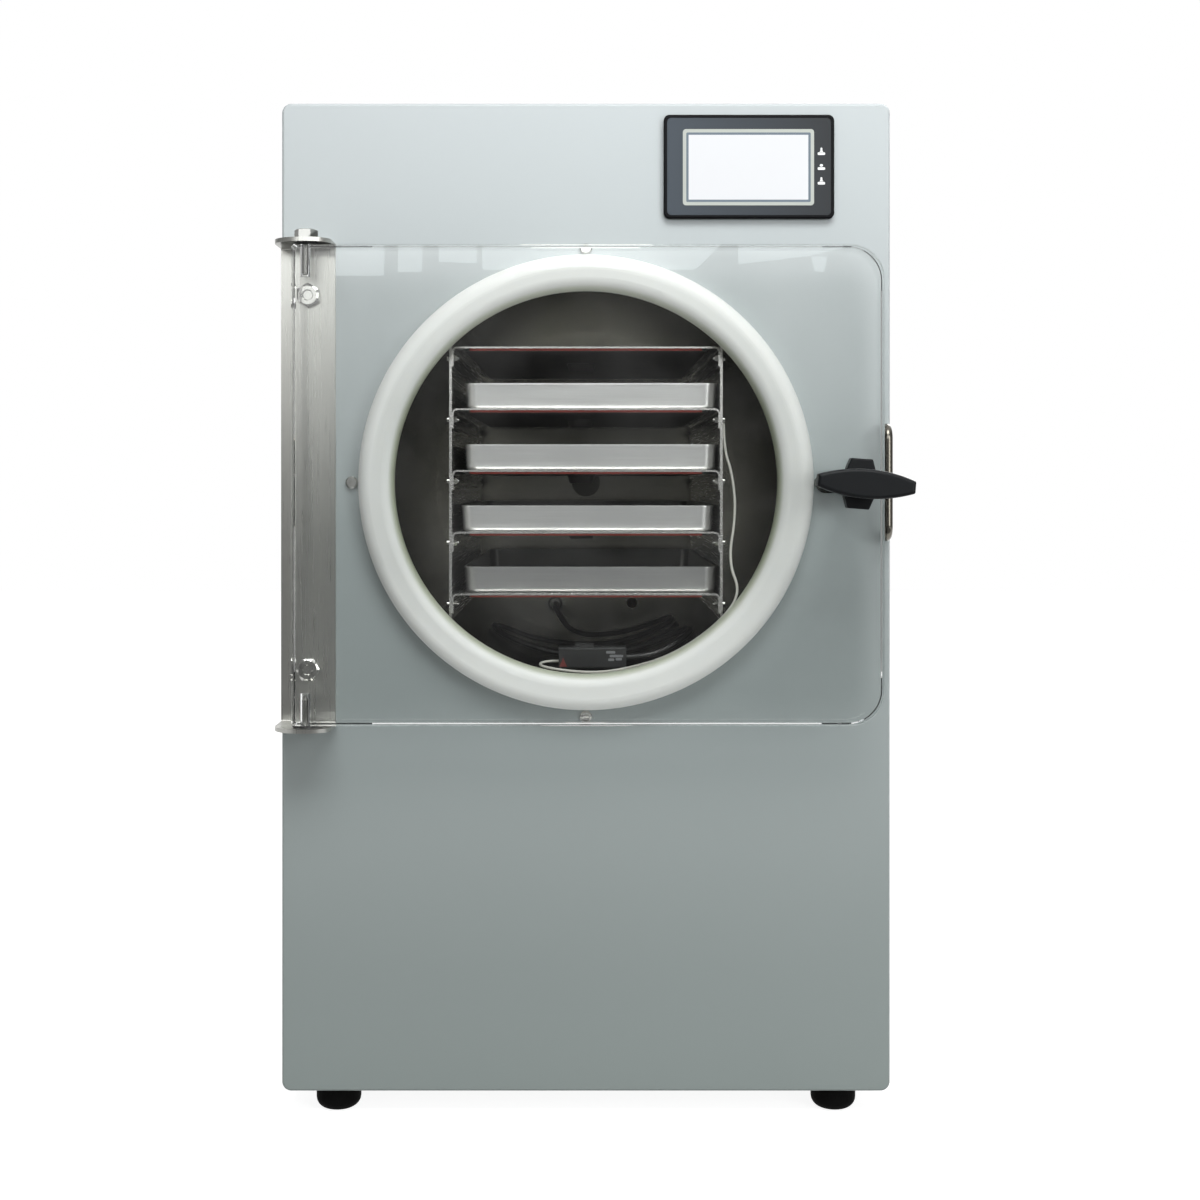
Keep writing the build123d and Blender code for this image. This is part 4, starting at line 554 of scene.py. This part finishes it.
# Painted shade: the hinge pins darker than their bolt heads, which are the same steel.
shaded_pin_steel = zoned(
    brushed_metal(
        "shaded_pin_steel", (0.15, 0.15, 0.14), ALONG_Z, roughness=0.34, streak=0.1, spread=0.05
    ),
    (0.46, 0.46, 0.44), start=pin_shade_end, end=pin_head_start, outward=1.0,
)
bracket_steel = brushed_metal(
    "bracket_steel", (0.435, 0.435, 0.41), ALONG_Z, roughness=0.28, streak=0.20, spread=0.05,
    bump=0.000004, one_way=0.8,
)
rack_steel = brushed_metal(
    "rack_steel", (0.66, 0.65, 0.63), ALONG_Y, roughness=0.26, streak=0.2
)


def tray_steel(number, tone):
    """Satin steel of one tray, with painted shade: darker grey from a few millimetres behind its
    front.
    """
    satin = brushed_metal(
        f"tray_steel_{number}", (tone, tone, 0.99 * tone), ALONG_X, roughness=0.34, streak=0.25,
        metallic=0.9,
    )
    return zoned(
        satin, (0.30, 0.30, 0.29), start=tray_front_y + 3.0 * MM, end=tray_front_y + 12.0 * MM
    )


# Painted shade: the same steel made darker on each lower tray.
shaded_tray_tones = (0.78, 0.69, 0.64, 0.40)
tray_steels = [tray_steel(number, tone) for number, tone in enumerate(shaded_tray_tones, start=1)]
# Painted shade and painted reflection: the drum's barrel toned dark and its rear face lighter,
# though both are the same steel.
drum_steel = zoned(
    brushed_metal("drum_steel", (0.13, 0.125, 0.11), ALONG_Y, roughness=0.20, streak=0.25),
    (0.50, 0.49, 0.43), start=drum_rear_face - 2.0 * MM, end=drum_rear_face - 0.5 * MM,
)
zinc_sheet = brushed_metal(
    "zinc_sheet", (0.55, 0.57, 0.60), PATCHY, roughness=0.42, streak=0.25
)
fin_metal = brushed_metal("fin_metal", (0.70, 0.71, 0.72), ALONG_Z, roughness=0.38, streak=0.3)
copper_tube = brushed_metal("copper_tube", (0.62, 0.33, 0.20), ALONG_X, streak=0.2)
brass_body = brushed_metal("brass_body", (0.62, 0.50, 0.24), ALONG_Z, roughness=0.32, streak=0.2)
foot_rubber = moulded(
    "foot_rubber", (0.003, 0.003, 0.003), roughness=0.7, dust=0.1,
    dust_color=(0.012, 0.012, 0.012), grain=700.0, specular=0.04,
)
black_nylon = moulded("black_nylon", (0.02, 0.02, 0.021), roughness=0.45, dust=0.1)
knob_black = moulded(
    "knob_black", (0.008, 0.009, 0.010), roughness=0.38, dust=0.08,
    dust_color=(0.04, 0.04, 0.04), grain=1600.0, specular=0.12,
)
case_black = moulded(
    "case_black", (0.003, 0.003, 0.004), roughness=0.35, dust=0.05,
    dust_color=(0.02, 0.02, 0.02), specular=0.08,
)
seal_silicone = zoned(
    moulded(
        "seal_silicone", (0.50, 0.54, 0.40), roughness=0.42, dust=0.25,
        dust_color=(0.45, 0.48, 0.37), grain=260.0, bump=0.00003, subsurface=0.15,
    ),
    (0.88, 0.88, 0.85), start=seal_inner_radius, end=seal_tint_end, outward=1.0,
)
# Painted light: the seal glows at its top and bottom, though it is no lamp.
painted_glow(seal_silicone, (1.0, 1.0, 0.97), near=60.0 * MM, far=150.0 * MM, strength=0.15)
foam_slab = moulded(
    "foam_slab", (0.68, 0.60, 0.40), roughness=0.8, dust=0.5, dust_color=(0.5, 0.42, 0.26),
    grain=180.0, bump=0.0006,
)
# Painted shade: the red mats turn near black from just behind their front edge, where the shelves
# shade them.
heater_silicone = zoned(
    moulded(
        "heater_silicone", (0.34, 0.035, 0.02), dust=0.2, dust_color=(0.22, 0.05, 0.04),
        grain=500.0,
    ),
    (0.045, 0.040, 0.036), start=mat_front_y + 0.8 * MM, end=mat_front_y + 1.6 * MM,
)
cable_jacket = moulded("cable_jacket", (0.014, 0.014, 0.014), roughness=0.38, dust=0.1)
lead_jacket = moulded("lead_jacket", (0.72, 0.70, 0.64), roughness=0.45)
connector_grey = moulded(
    "connector_grey", (0.022, 0.022, 0.022), dust=0.2, dust_color=(0.07, 0.07, 0.07),
    specular=0.3,
)
compressor_black = moulded("compressor_black", (0.015, 0.015, 0.016), roughness=0.3, coat=0.4)
door_acrylic = clear_sheet("door_acrylic", tint=(0.915, 0.925, 0.918), shade=(0.82, 0.835, 0.835))

SHELF_NUMBERS = range(1, 6)

NODE_MATERIALS = {
    cabinet_paint: ["front_panel", "cabinet_wrapper", "base_pan", "rear_panel"],
    bright_steel: [
        "rear_screws", "bracket_bolts", "panel_screws", "rack_screws",
        "cable_gland", "latch_shaft", "latch_arm",
    ],
    keeper_steel: ["latch_keeper"],
    shaded_pin_steel: ["hinge_bolts"],
    bracket_steel: ["hinge_bracket"],
    rack_steel: ["rack_side_left", "rack_side_right", *[f"shelf_{n}" for n in SHELF_NUMBERS]],
    **{steel: [f"tray_{n}"] for n, steel in enumerate(tray_steels, start=1)},
    drum_steel: ["chamber_drum", "cooling_jacket", "vacuum_port", "drain_lever"],
    zinc_sheet: ["drum_saddles", "deck_frame", "control_box"],
    fin_metal: ["condenser"],
    copper_tube: ["discharge_line", "suction_line", "liquid_line"],
    brass_body: ["drain_valve"],
    foot_rubber: ["rubber_feet", "compressor_grommets"],
    black_nylon: [
        "hinge_washers", "latch_bushing", "fan_shroud", "fan_rotor", "power_inlet", "power_rocker",
    ],
    knob_black: ["knob"],
    case_black: ["display_case"],
    seal_silicone: ["door_gasket"],
    foam_slab: ["drum_insulation"],
    heater_silicone: [f"heater_mat_{n}" for n in SHELF_NUMBERS],
    cable_jacket: ["harness_cable"],
    lead_jacket: ["heater_lead"],
    connector_grey: ["cable_connector"],
    compressor_black: ["compressor"],
    door_acrylic: ["door_plate"],
}


def paint(piece, material):
    """Give a piece one material, in place of what it had."""
    piece.data.materials.clear()
    piece.data.materials.append(material)


for material, names in NODE_MATERIALS.items():
    for name in names:
        paint(nodes[name], material)
paint(harness, cable_jacket)
paint(heater, lead_jacket)


# ---------------------------------------------------------------- touch panel

def rounded_outline(width, height, radius, steps=6):
    """Corner points of a rounded rectangle in the XZ plane, anticlockwise from the front."""
    points = []
    for quarter, (sx, sz) in enumerate(((1, 1), (-1, 1), (-1, -1), (1, -1))):
        for step in range(steps + 1):
            angle = pi / 2 * (quarter + step / steps)
            points.append((
                sx * (width / 2 - radius) + radius * cos(angle),
                sz * (height / 2 - radius) + radius * sin(angle),
            ))
    return points


def in_metres(outline):
    """An outline given in millimetres."""
    return [(x * MM, z * MM) for x, z in outline]


def thin_plate(name, centre, outer, inner, front, thickness, material):
    """A plate facing -Y, or a ring where inner is given, with its front at depth front."""
    shape = bmesh.new()
    loops = []
    for outline in (outer, inner):
        if outline is None:
            continue
        for depth in (front, front + thickness):
            loops.append([
                shape.verts.new((centre[0] + x, depth, centre[1] + z)) for x, z in outline
            ])
    count = len(outer)

    def wall(first, second):
        """A band of faces between two loops of points."""
        for index in range(count):
            after = (index + 1) % count
            shape.faces.new((first[index], first[after], second[after], second[index]))

    if inner is None:
        shape.faces.new(loops[0])
        shape.faces.new(list(reversed(loops[1])))
        wall(loops[1], loops[0])
    else:
        for first, second in ((1, 0), (2, 3), (0, 2), (3, 1)):
            wall(loops[first], loops[second])
    bmesh.ops.recalc_face_normals(shape, faces=shape.faces)
    mesh = bpy.data.meshes.new(name)
    shape.to_mesh(mesh)
    shape.free()
    piece = link(name, mesh)
    paint(piece, material)
    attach(piece, "cabinet")


def shaded_film_face(name, left_color, right_color, left, right):
    """Satin film with painted shade: lighter and bluer at one side of the touch panel, darker at
    the other.
    """
    material, tree, surface = start_material(name)
    across = split_place(tree, surface_place(tree))["X"]
    across = ramp_between(tree, across, left, right, 0.0, 1.0)
    tone = blend_colors(tree, across, (*left_color, 1.0), (*right_color, 1.0))
    film = place_group(tree, moulded_skin, {"Dust": 0.0, "Grain Scale": 2600.0, "Roughness": 0.4})
    wire_surface(tree, surface, film, bump_distance=0.00001, bump_strength=0.3)
    tree.links.new(tone, surface.inputs["Base Color"])
    surface.inputs["Specular IOR Level"].default_value = 0.15
    return material


def lit_glass(name, color, glow):
    """Glass over a lit blank screen, faintly smeared."""
    material, tree, surface = start_material(name)
    set_inputs(surface, {
        "Base Color": (*color, 1.0), "Emission Color": (*color, 1.0), "Emission Strength": glow,
        "Specular IOR Level": 0.1,
    })
    smear = noise_field(tree, surface_place(tree), scale=30.0)
    tree.links.new(spread_noise(tree, smear, 0.10, 0.18), surface.inputs["Roughness"])
    return material


# Painted shade across the film: lighter and bluer at the left, darker at the right.
panel_film = shaded_film_face(
    "panel_film", (0.064, 0.078, 0.094), (0.032, 0.035, 0.038), screen_low.x, screen_high.x
)
frame_line = moulded("frame_line", (0.45, 0.48, 0.44), roughness=0.4, dust=0.0)
frame_inset = moulded("frame_inset", (0.115, 0.155, 0.195), roughness=0.35, dust=0.0)
screen_light = lit_glass("screen_light", (0.60, 0.612, 0.628), glow=0.30)
icon_white = moulded("icon_white", (0.85, 0.86, 0.86), roughness=0.45, dust=0.0)
paint(nodes["display_screen"], panel_film)

film_y = screen_low.y
panel_z = (screen_low.z + screen_high.z) / 2
window_centre = (121.9 * MM, panel_z - 0.6 * MM)
frame_width, frame_height = 98.4 * MM, 57.2 * MM
line_width, inset_width = 2.5 * MM, 1.8 * MM
line_corner, inset_corner, glass_corner = 2.4 * MM, 1.0 * MM, 0.3 * MM


def framed(inset, corner):
    """The screen frame's outline, drawn in by inset all round."""
    return rounded_outline(frame_width - 2 * inset, frame_height - 2 * inset, corner)


line_outline = framed(0.0, line_corner)
inset_outline = framed(line_width, inset_corner)
glass_outline = framed(line_width + inset_width, glass_corner)
thin_plate(
    "screen_frame_line", window_centre, line_outline, inset_outline,
    front=film_y - 0.15 * MM, thickness=0.3 * MM, material=frame_line,
)
thin_plate(
    "screen_inset", window_centre, inset_outline, glass_outline,
    front=film_y - 0.05 * MM, thickness=0.2 * MM, material=frame_inset,
)
thin_plate(
    "screen_glass", window_centre, glass_outline, None,
    front=film_y - 0.08 * MM, thickness=0.2 * MM, material=screen_light,
)

# Three icons beside the screen. The outlines of their caps are in mm.
icon_x = 176.6 * MM
icon_rises = (11.3 * MM, 0.1 * MM, -10.9 * MM)
bar_drop, cap_drop = 1.7 * MM, 0.7 * MM
bar_outline = rounded_outline(5.6 * MM, 2.0 * MM, 0.7 * MM, 3)
dot_cap = [(x, z + 1.4) for x, z in rounded_outline(2.4, 1.9, 0.9, 4)]
tapered_cap = [
    (-1.45, 0.3), (1.45, 0.3), (0.75, 1.3), (0.7, 3.0), (0.4, 3.5),
    (-0.4, 3.5), (-0.7, 3.0), (-0.75, 1.3),
]
icon_caps = (tapered_cap, dot_cap, tapered_cap)


def icon_mark(name, place, outline):
    """One raised white mark of an icon."""
    thin_plate(
        name, place, outline, None, front=film_y - 0.06 * MM, thickness=0.15 * MM,
        material=icon_white,
    )


for number, (rise, cap) in enumerate(zip(icon_rises, icon_caps), start=1):
    icon_z = panel_z + rise
    icon_mark(f"icon_bar_{number}", (icon_x, icon_z - bar_drop), bar_outline)
    icon_mark(f"icon_cap_{number}", (icon_x, icon_z - cap_drop), in_metres(cap))


# ---------------------------------------------------------------- connector marks

def connector_mark(name, left, height, outline, material):
    """A thin part in the connector's front face, placed from its lower left corner, in mm."""
    centre = (connector_low.x + left * MM, connector_low.z + height * MM)
    thin_plate(
        name, centre, in_metres(outline), None, front=connector_low.y - 0.3 * MM,
        thickness=0.6 * MM, material=material,
    )


lock_red = moulded("lock_red", (0.16, 0.018, 0.016), roughness=0.45, dust=0.0)
blade_metal = moulded("blade_metal", (0.24, 0.245, 0.25), roughness=0.35, dust=0.0)
lock_outline = [(-3.0, -3.6), (3.0, -3.6), (1.0, 0.6), (0.0, 3.6), (-1.0, 0.6)]
connector_mark("connector_lock", left=3.5, height=5.5, outline=lock_outline, material=lock_red)

# Each blade's place and length, in mm: from the left, from below, and how long it is.
connector_blades = [(40.0, 12.9, 7.0), (44.4, 10.0, 10.4), (40.4, 7.2, 4.6), (46.2, 7.6, 4.8)]
blade_width, blade_corner = 1.9, 0.6
for number, (left, height, length) in enumerate(connector_blades, start=1):
    connector_mark(
        f"connector_blade_{number}", left, height,
        rounded_outline(length, blade_width, blade_corner, steps=2), blade_metal,
    )


# ---------------------------------------------------------------- studio

WHITE, BLACK = (1.0, 1.0, 1.0), (0.0, 0.0, 0.0)


def sees_background(tree):
    """1 for rays from the eye, from gloss and through glass."""
    rays = tree.nodes.new("ShaderNodeLightPath")
    seen = math_node(tree, "MAXIMUM", rays.outputs["Is Camera Ray"], rays.outputs["Is Glossy Ray"])
    return math_node(tree, "MAXIMUM", seen, rays.outputs["Is Transmission Ray"])


def set_glow(surface, base, tint):
    """A surface without gloss: its own colour, and the colour of its light."""
    set_inputs(surface, {
        "Base Color": (*base, 1.0), "Specular IOR Level": 0.0, "Emission Color": (*tint, 1.0),
    })


def flat_card(name, points, faces):
    """A card from its corner points and its faces."""
    mesh = bpy.data.meshes.new(name)
    mesh.from_pydata(points, [], faces)
    return link(name, mesh)


def hide_from(piece, *rays):
    """Hide a piece from the named kinds of ray."""
    for ray in rays:
        setattr(piece, f"visible_{ray}", False)


def softbox(name, place, target, width, height, power):
    """A rectangular lamp that faces its target. Size in metres, power in watts."""
    lamp = bpy.data.lights.new(name, "AREA")
    lamp.shape = "RECTANGLE"
    lamp.size, lamp.size_y = width, height
    lamp.energy = power
    made = link(name, lamp)
    made.location = place
    made.rotation_euler = (Vector(target) - Vector(place)).to_track_quat("-Z", "Y").to_euler()
    hide_from(made, "camera")


def gloss_only(piece, material, *unseen):
    """Paint a piece of the studio that only gloss and glass show."""
    paint(piece, material)
    hide_from(piece, "camera", "diffuse", "shadow", "volume_scatter", *unseen)


def bent_card(name, profile, left, right):
    """A card bent along profile, which is (y, z), from left to right."""
    mesh = bpy.data.meshes.new(name)
    shape = bmesh.new()
    rows = [[shape.verts.new((x, y, z)) for x in (left, right)] for y, z in profile]
    for below, above in zip(rows, rows[1:]):
        shape.faces.new((below[0], below[1], above[1], above[0]))
    shape.to_mesh(mesh)
    shape.free()
    return link(name, mesh)


def gloss_card(name, profile, left, right, tint, stops):
    """A bent card seen only in gloss. Its uneven light follows stops, which are (height, glow)."""
    card = bent_card(name, profile, left, right)
    material, tree, surface = start_material(name)
    set_glow(surface, BLACK, tint)
    place = surface_place(tree)
    height = split_place(tree, place)["Z"]
    top = stops[-1][0]
    brightest = max(glow for stop, glow in stops)
    height = math_node(tree, "DIVIDE", height, top)
    scale = tree.nodes.new("ShaderNodeValToRGB")
    points = scale.color_ramp.elements
    for stop, glow in stops:
        if stop == 0.0:
            point = points[0]
        elif stop == top:
            point = points[len(points) - 1]
        else:
            point = points.new(stop / top)
        share = glow / brightest
        point.color = (share, share, share, 1.0)
    tree.links.new(height, scale.inputs[0])
    streaks = tree.nodes.new("ShaderNodeMapping")
    streaks.inputs["Scale"].default_value = (5.0, 1.0, 1.2)
    tree.links.new(place, streaks.inputs["Vector"])
    uneven = noise_field(tree, streaks.outputs["Vector"], scale=1.0, detail=4.0, roughness=0.6)
    uneven = spread_noise(tree, uneven, 0.8 * brightest, 1.2 * brightest)
    shine = math_node(tree, "MULTIPLY", scale.outputs["Color"], uneven)
    tree.links.new(shine, surface.inputs["Emission Strength"])
    gloss_only(card, material)


def glow_only(piece, tint, strength, *unseen, patches=0.0):
    """Make a piece glow, for gloss and glass alone. patches is how uneven its light is."""
    material, tree, surface = start_material(piece.name)
    set_glow(surface, BLACK, tint)
    surface.inputs["Emission Strength"].default_value = strength
    if patches:
        cloud = noise_field(tree, surface_place(tree), scale=5.0, detail=4.0, roughness=0.6)
        shine = ramp_between(
            tree, cloud, 0.38, 0.68, strength * (1.0 - patches), strength * (1.0 + patches)
        )
        tree.links.new(shine, surface.inputs["Emission Strength"])
    gloss_only(piece, material, *unseen)


# The world: white where it is seen, and dimmer as the light that falls on things.
ambient = 0.36
world = bpy.data.worlds.new("studio")
scene.world = world
world.use_nodes = True
sky = world.node_tree.nodes["Background"]
sky.inputs["Color"].default_value = (*WHITE, 1.0)
glow = ramp_between(world.node_tree, sees_background(world.node_tree), 0.0, 1.0, ambient, 1.0)
world.node_tree.links.new(glow, sky.inputs["Strength"])

# The floor: pale where it is seen, just under the feet.
floor_reach = 6.0
floor_drop = 0.5 * MM
floor_seen_glow = 0.90
floor = flat_card(
    "floor",
    [(sx * floor_reach, sy * floor_reach, 0) for sx, sy in ((-1, -1), (1, -1), (1, 1), (-1, 1))],
    [(0, 1, 2, 3)],
)
floor.location.z = -floor_drop
floor_white, floor_tree, floor_surface = start_material("floor_white")
set_glow(floor_surface, (0.40, 0.40, 0.40), WHITE)
floor_surface.inputs["Roughness"].default_value = 0.9
floor_glow = ramp_between(floor_tree, sees_background(floor_tree), 0.0, 1.0, 0.0, floor_seen_glow)
floor_tree.links.new(floor_glow, floor_surface.inputs["Emission Strength"])
paint(floor, floor_white)

# The bent card in front, which the paint and the steel mirror.
card_reach = 1.3
front_profile = [
    (-0.50, 0.004), (-1.60, 0.004), (-2.30, 0.15), (-2.70, 0.60), (-2.80, 1.20), (-2.80, 3.40),
]
front_stops = [
    (0.0, 0.30), (0.20, 0.22), (0.36, 0.18), (0.50, 0.55), (0.62, 1.1), (0.88, 1.9), (1.0, 2.5),
    (1.9, 1.7),
]
gloss_card("front_card", front_profile, -card_reach, card_reach, WHITE, front_stops)

# Dim cards at both sides.
wing_reach, wing_height = 3.0, 2.6
wing_glow = 0.30
for side, sign in (("left", -1), ("right", 1)):
    path = [(card_reach * sign, -2.82), (wing_reach * sign, -2.0), (wing_reach * sign, 2.4)]
    wing = flat_card(
        f"{side}_card", [(x, y, z) for z in (0.0, wing_height) for x, y in path],
        [(0, 1, 4, 3), (1, 2, 5, 4)],
    )
    glow_only(wing, WHITE, wing_glow)

# A dim round card behind the camera.
flag_radius, flag_y, flag_sides = 0.37, -2.0, 64
flag_angles = [2 * pi * n / flag_sides for n in range(flag_sides)]
flag = flat_card(
    "camera_flag",
    [(flag_radius * cos(angle), flag_y, chamber_z + flag_radius * sin(angle))
     for angle in flag_angles],
    [tuple(range(flag_sides))],
)
glow_only(flag, WHITE, 0.20, patches=0.8)

# Bright window panes behind the camera, seen only in gloss, as on the door's face.
window_y = -2.2
window_glow = 5.0
window_tint = (0.95, 0.99, 1.0)
window_panes = [
    [(-0.46, 0.855), (-0.37, 0.855), (-0.36, 1.30), (-0.45, 1.30)],
    [(-0.345, 0.862), (-0.30, 0.862), (-0.29, 1.30), (-0.335, 1.30)],
    [(-0.27, 0.880), (-0.20, 0.878), (-0.20, 1.30), (-0.27, 1.30)],
    [(-0.19, 0.866), (0.201, 0.8665), (0.242, 0.907), (0.60, 1.30), (-0.19, 1.30)],
    [(0.279, 0.876), (0.410, 0.891), (0.47, 0.905), (0.70, 1.30), (0.278, 1.30)],
    [(0.418, 0.864), (0.436, 0.861), (0.442, 0.889), (0.412, 0.891)],
]
for number, corners in enumerate(window_panes, start=1):
    pane = flat_card(
        f"window_{number}", [(x, window_y, z) for x, z in corners], [tuple(range(len(corners)))]
    )
    glow_only(pane, window_tint, window_glow, "transmission")

# Soft lamps above the front, at the front right and behind.
softbox(
    "key_softbox", place=(0.20, -1.40, 2.00), target=(0.0, front_y, 0.50), width=1.5, height=0.8,
    power=32.5,
)
softbox(
    "fill_softbox", place=(1.45, -2.0, 0.8), target=(0.0, 0.0, 0.35), width=0.9, height=1.1,
    power=15.0,
)
softbox(
    "rear_softbox", place=(0.9, 2.2, 1.7), target=(0.0, 0.2, 0.4), width=1.2, height=1.0,
    power=22.0,
)
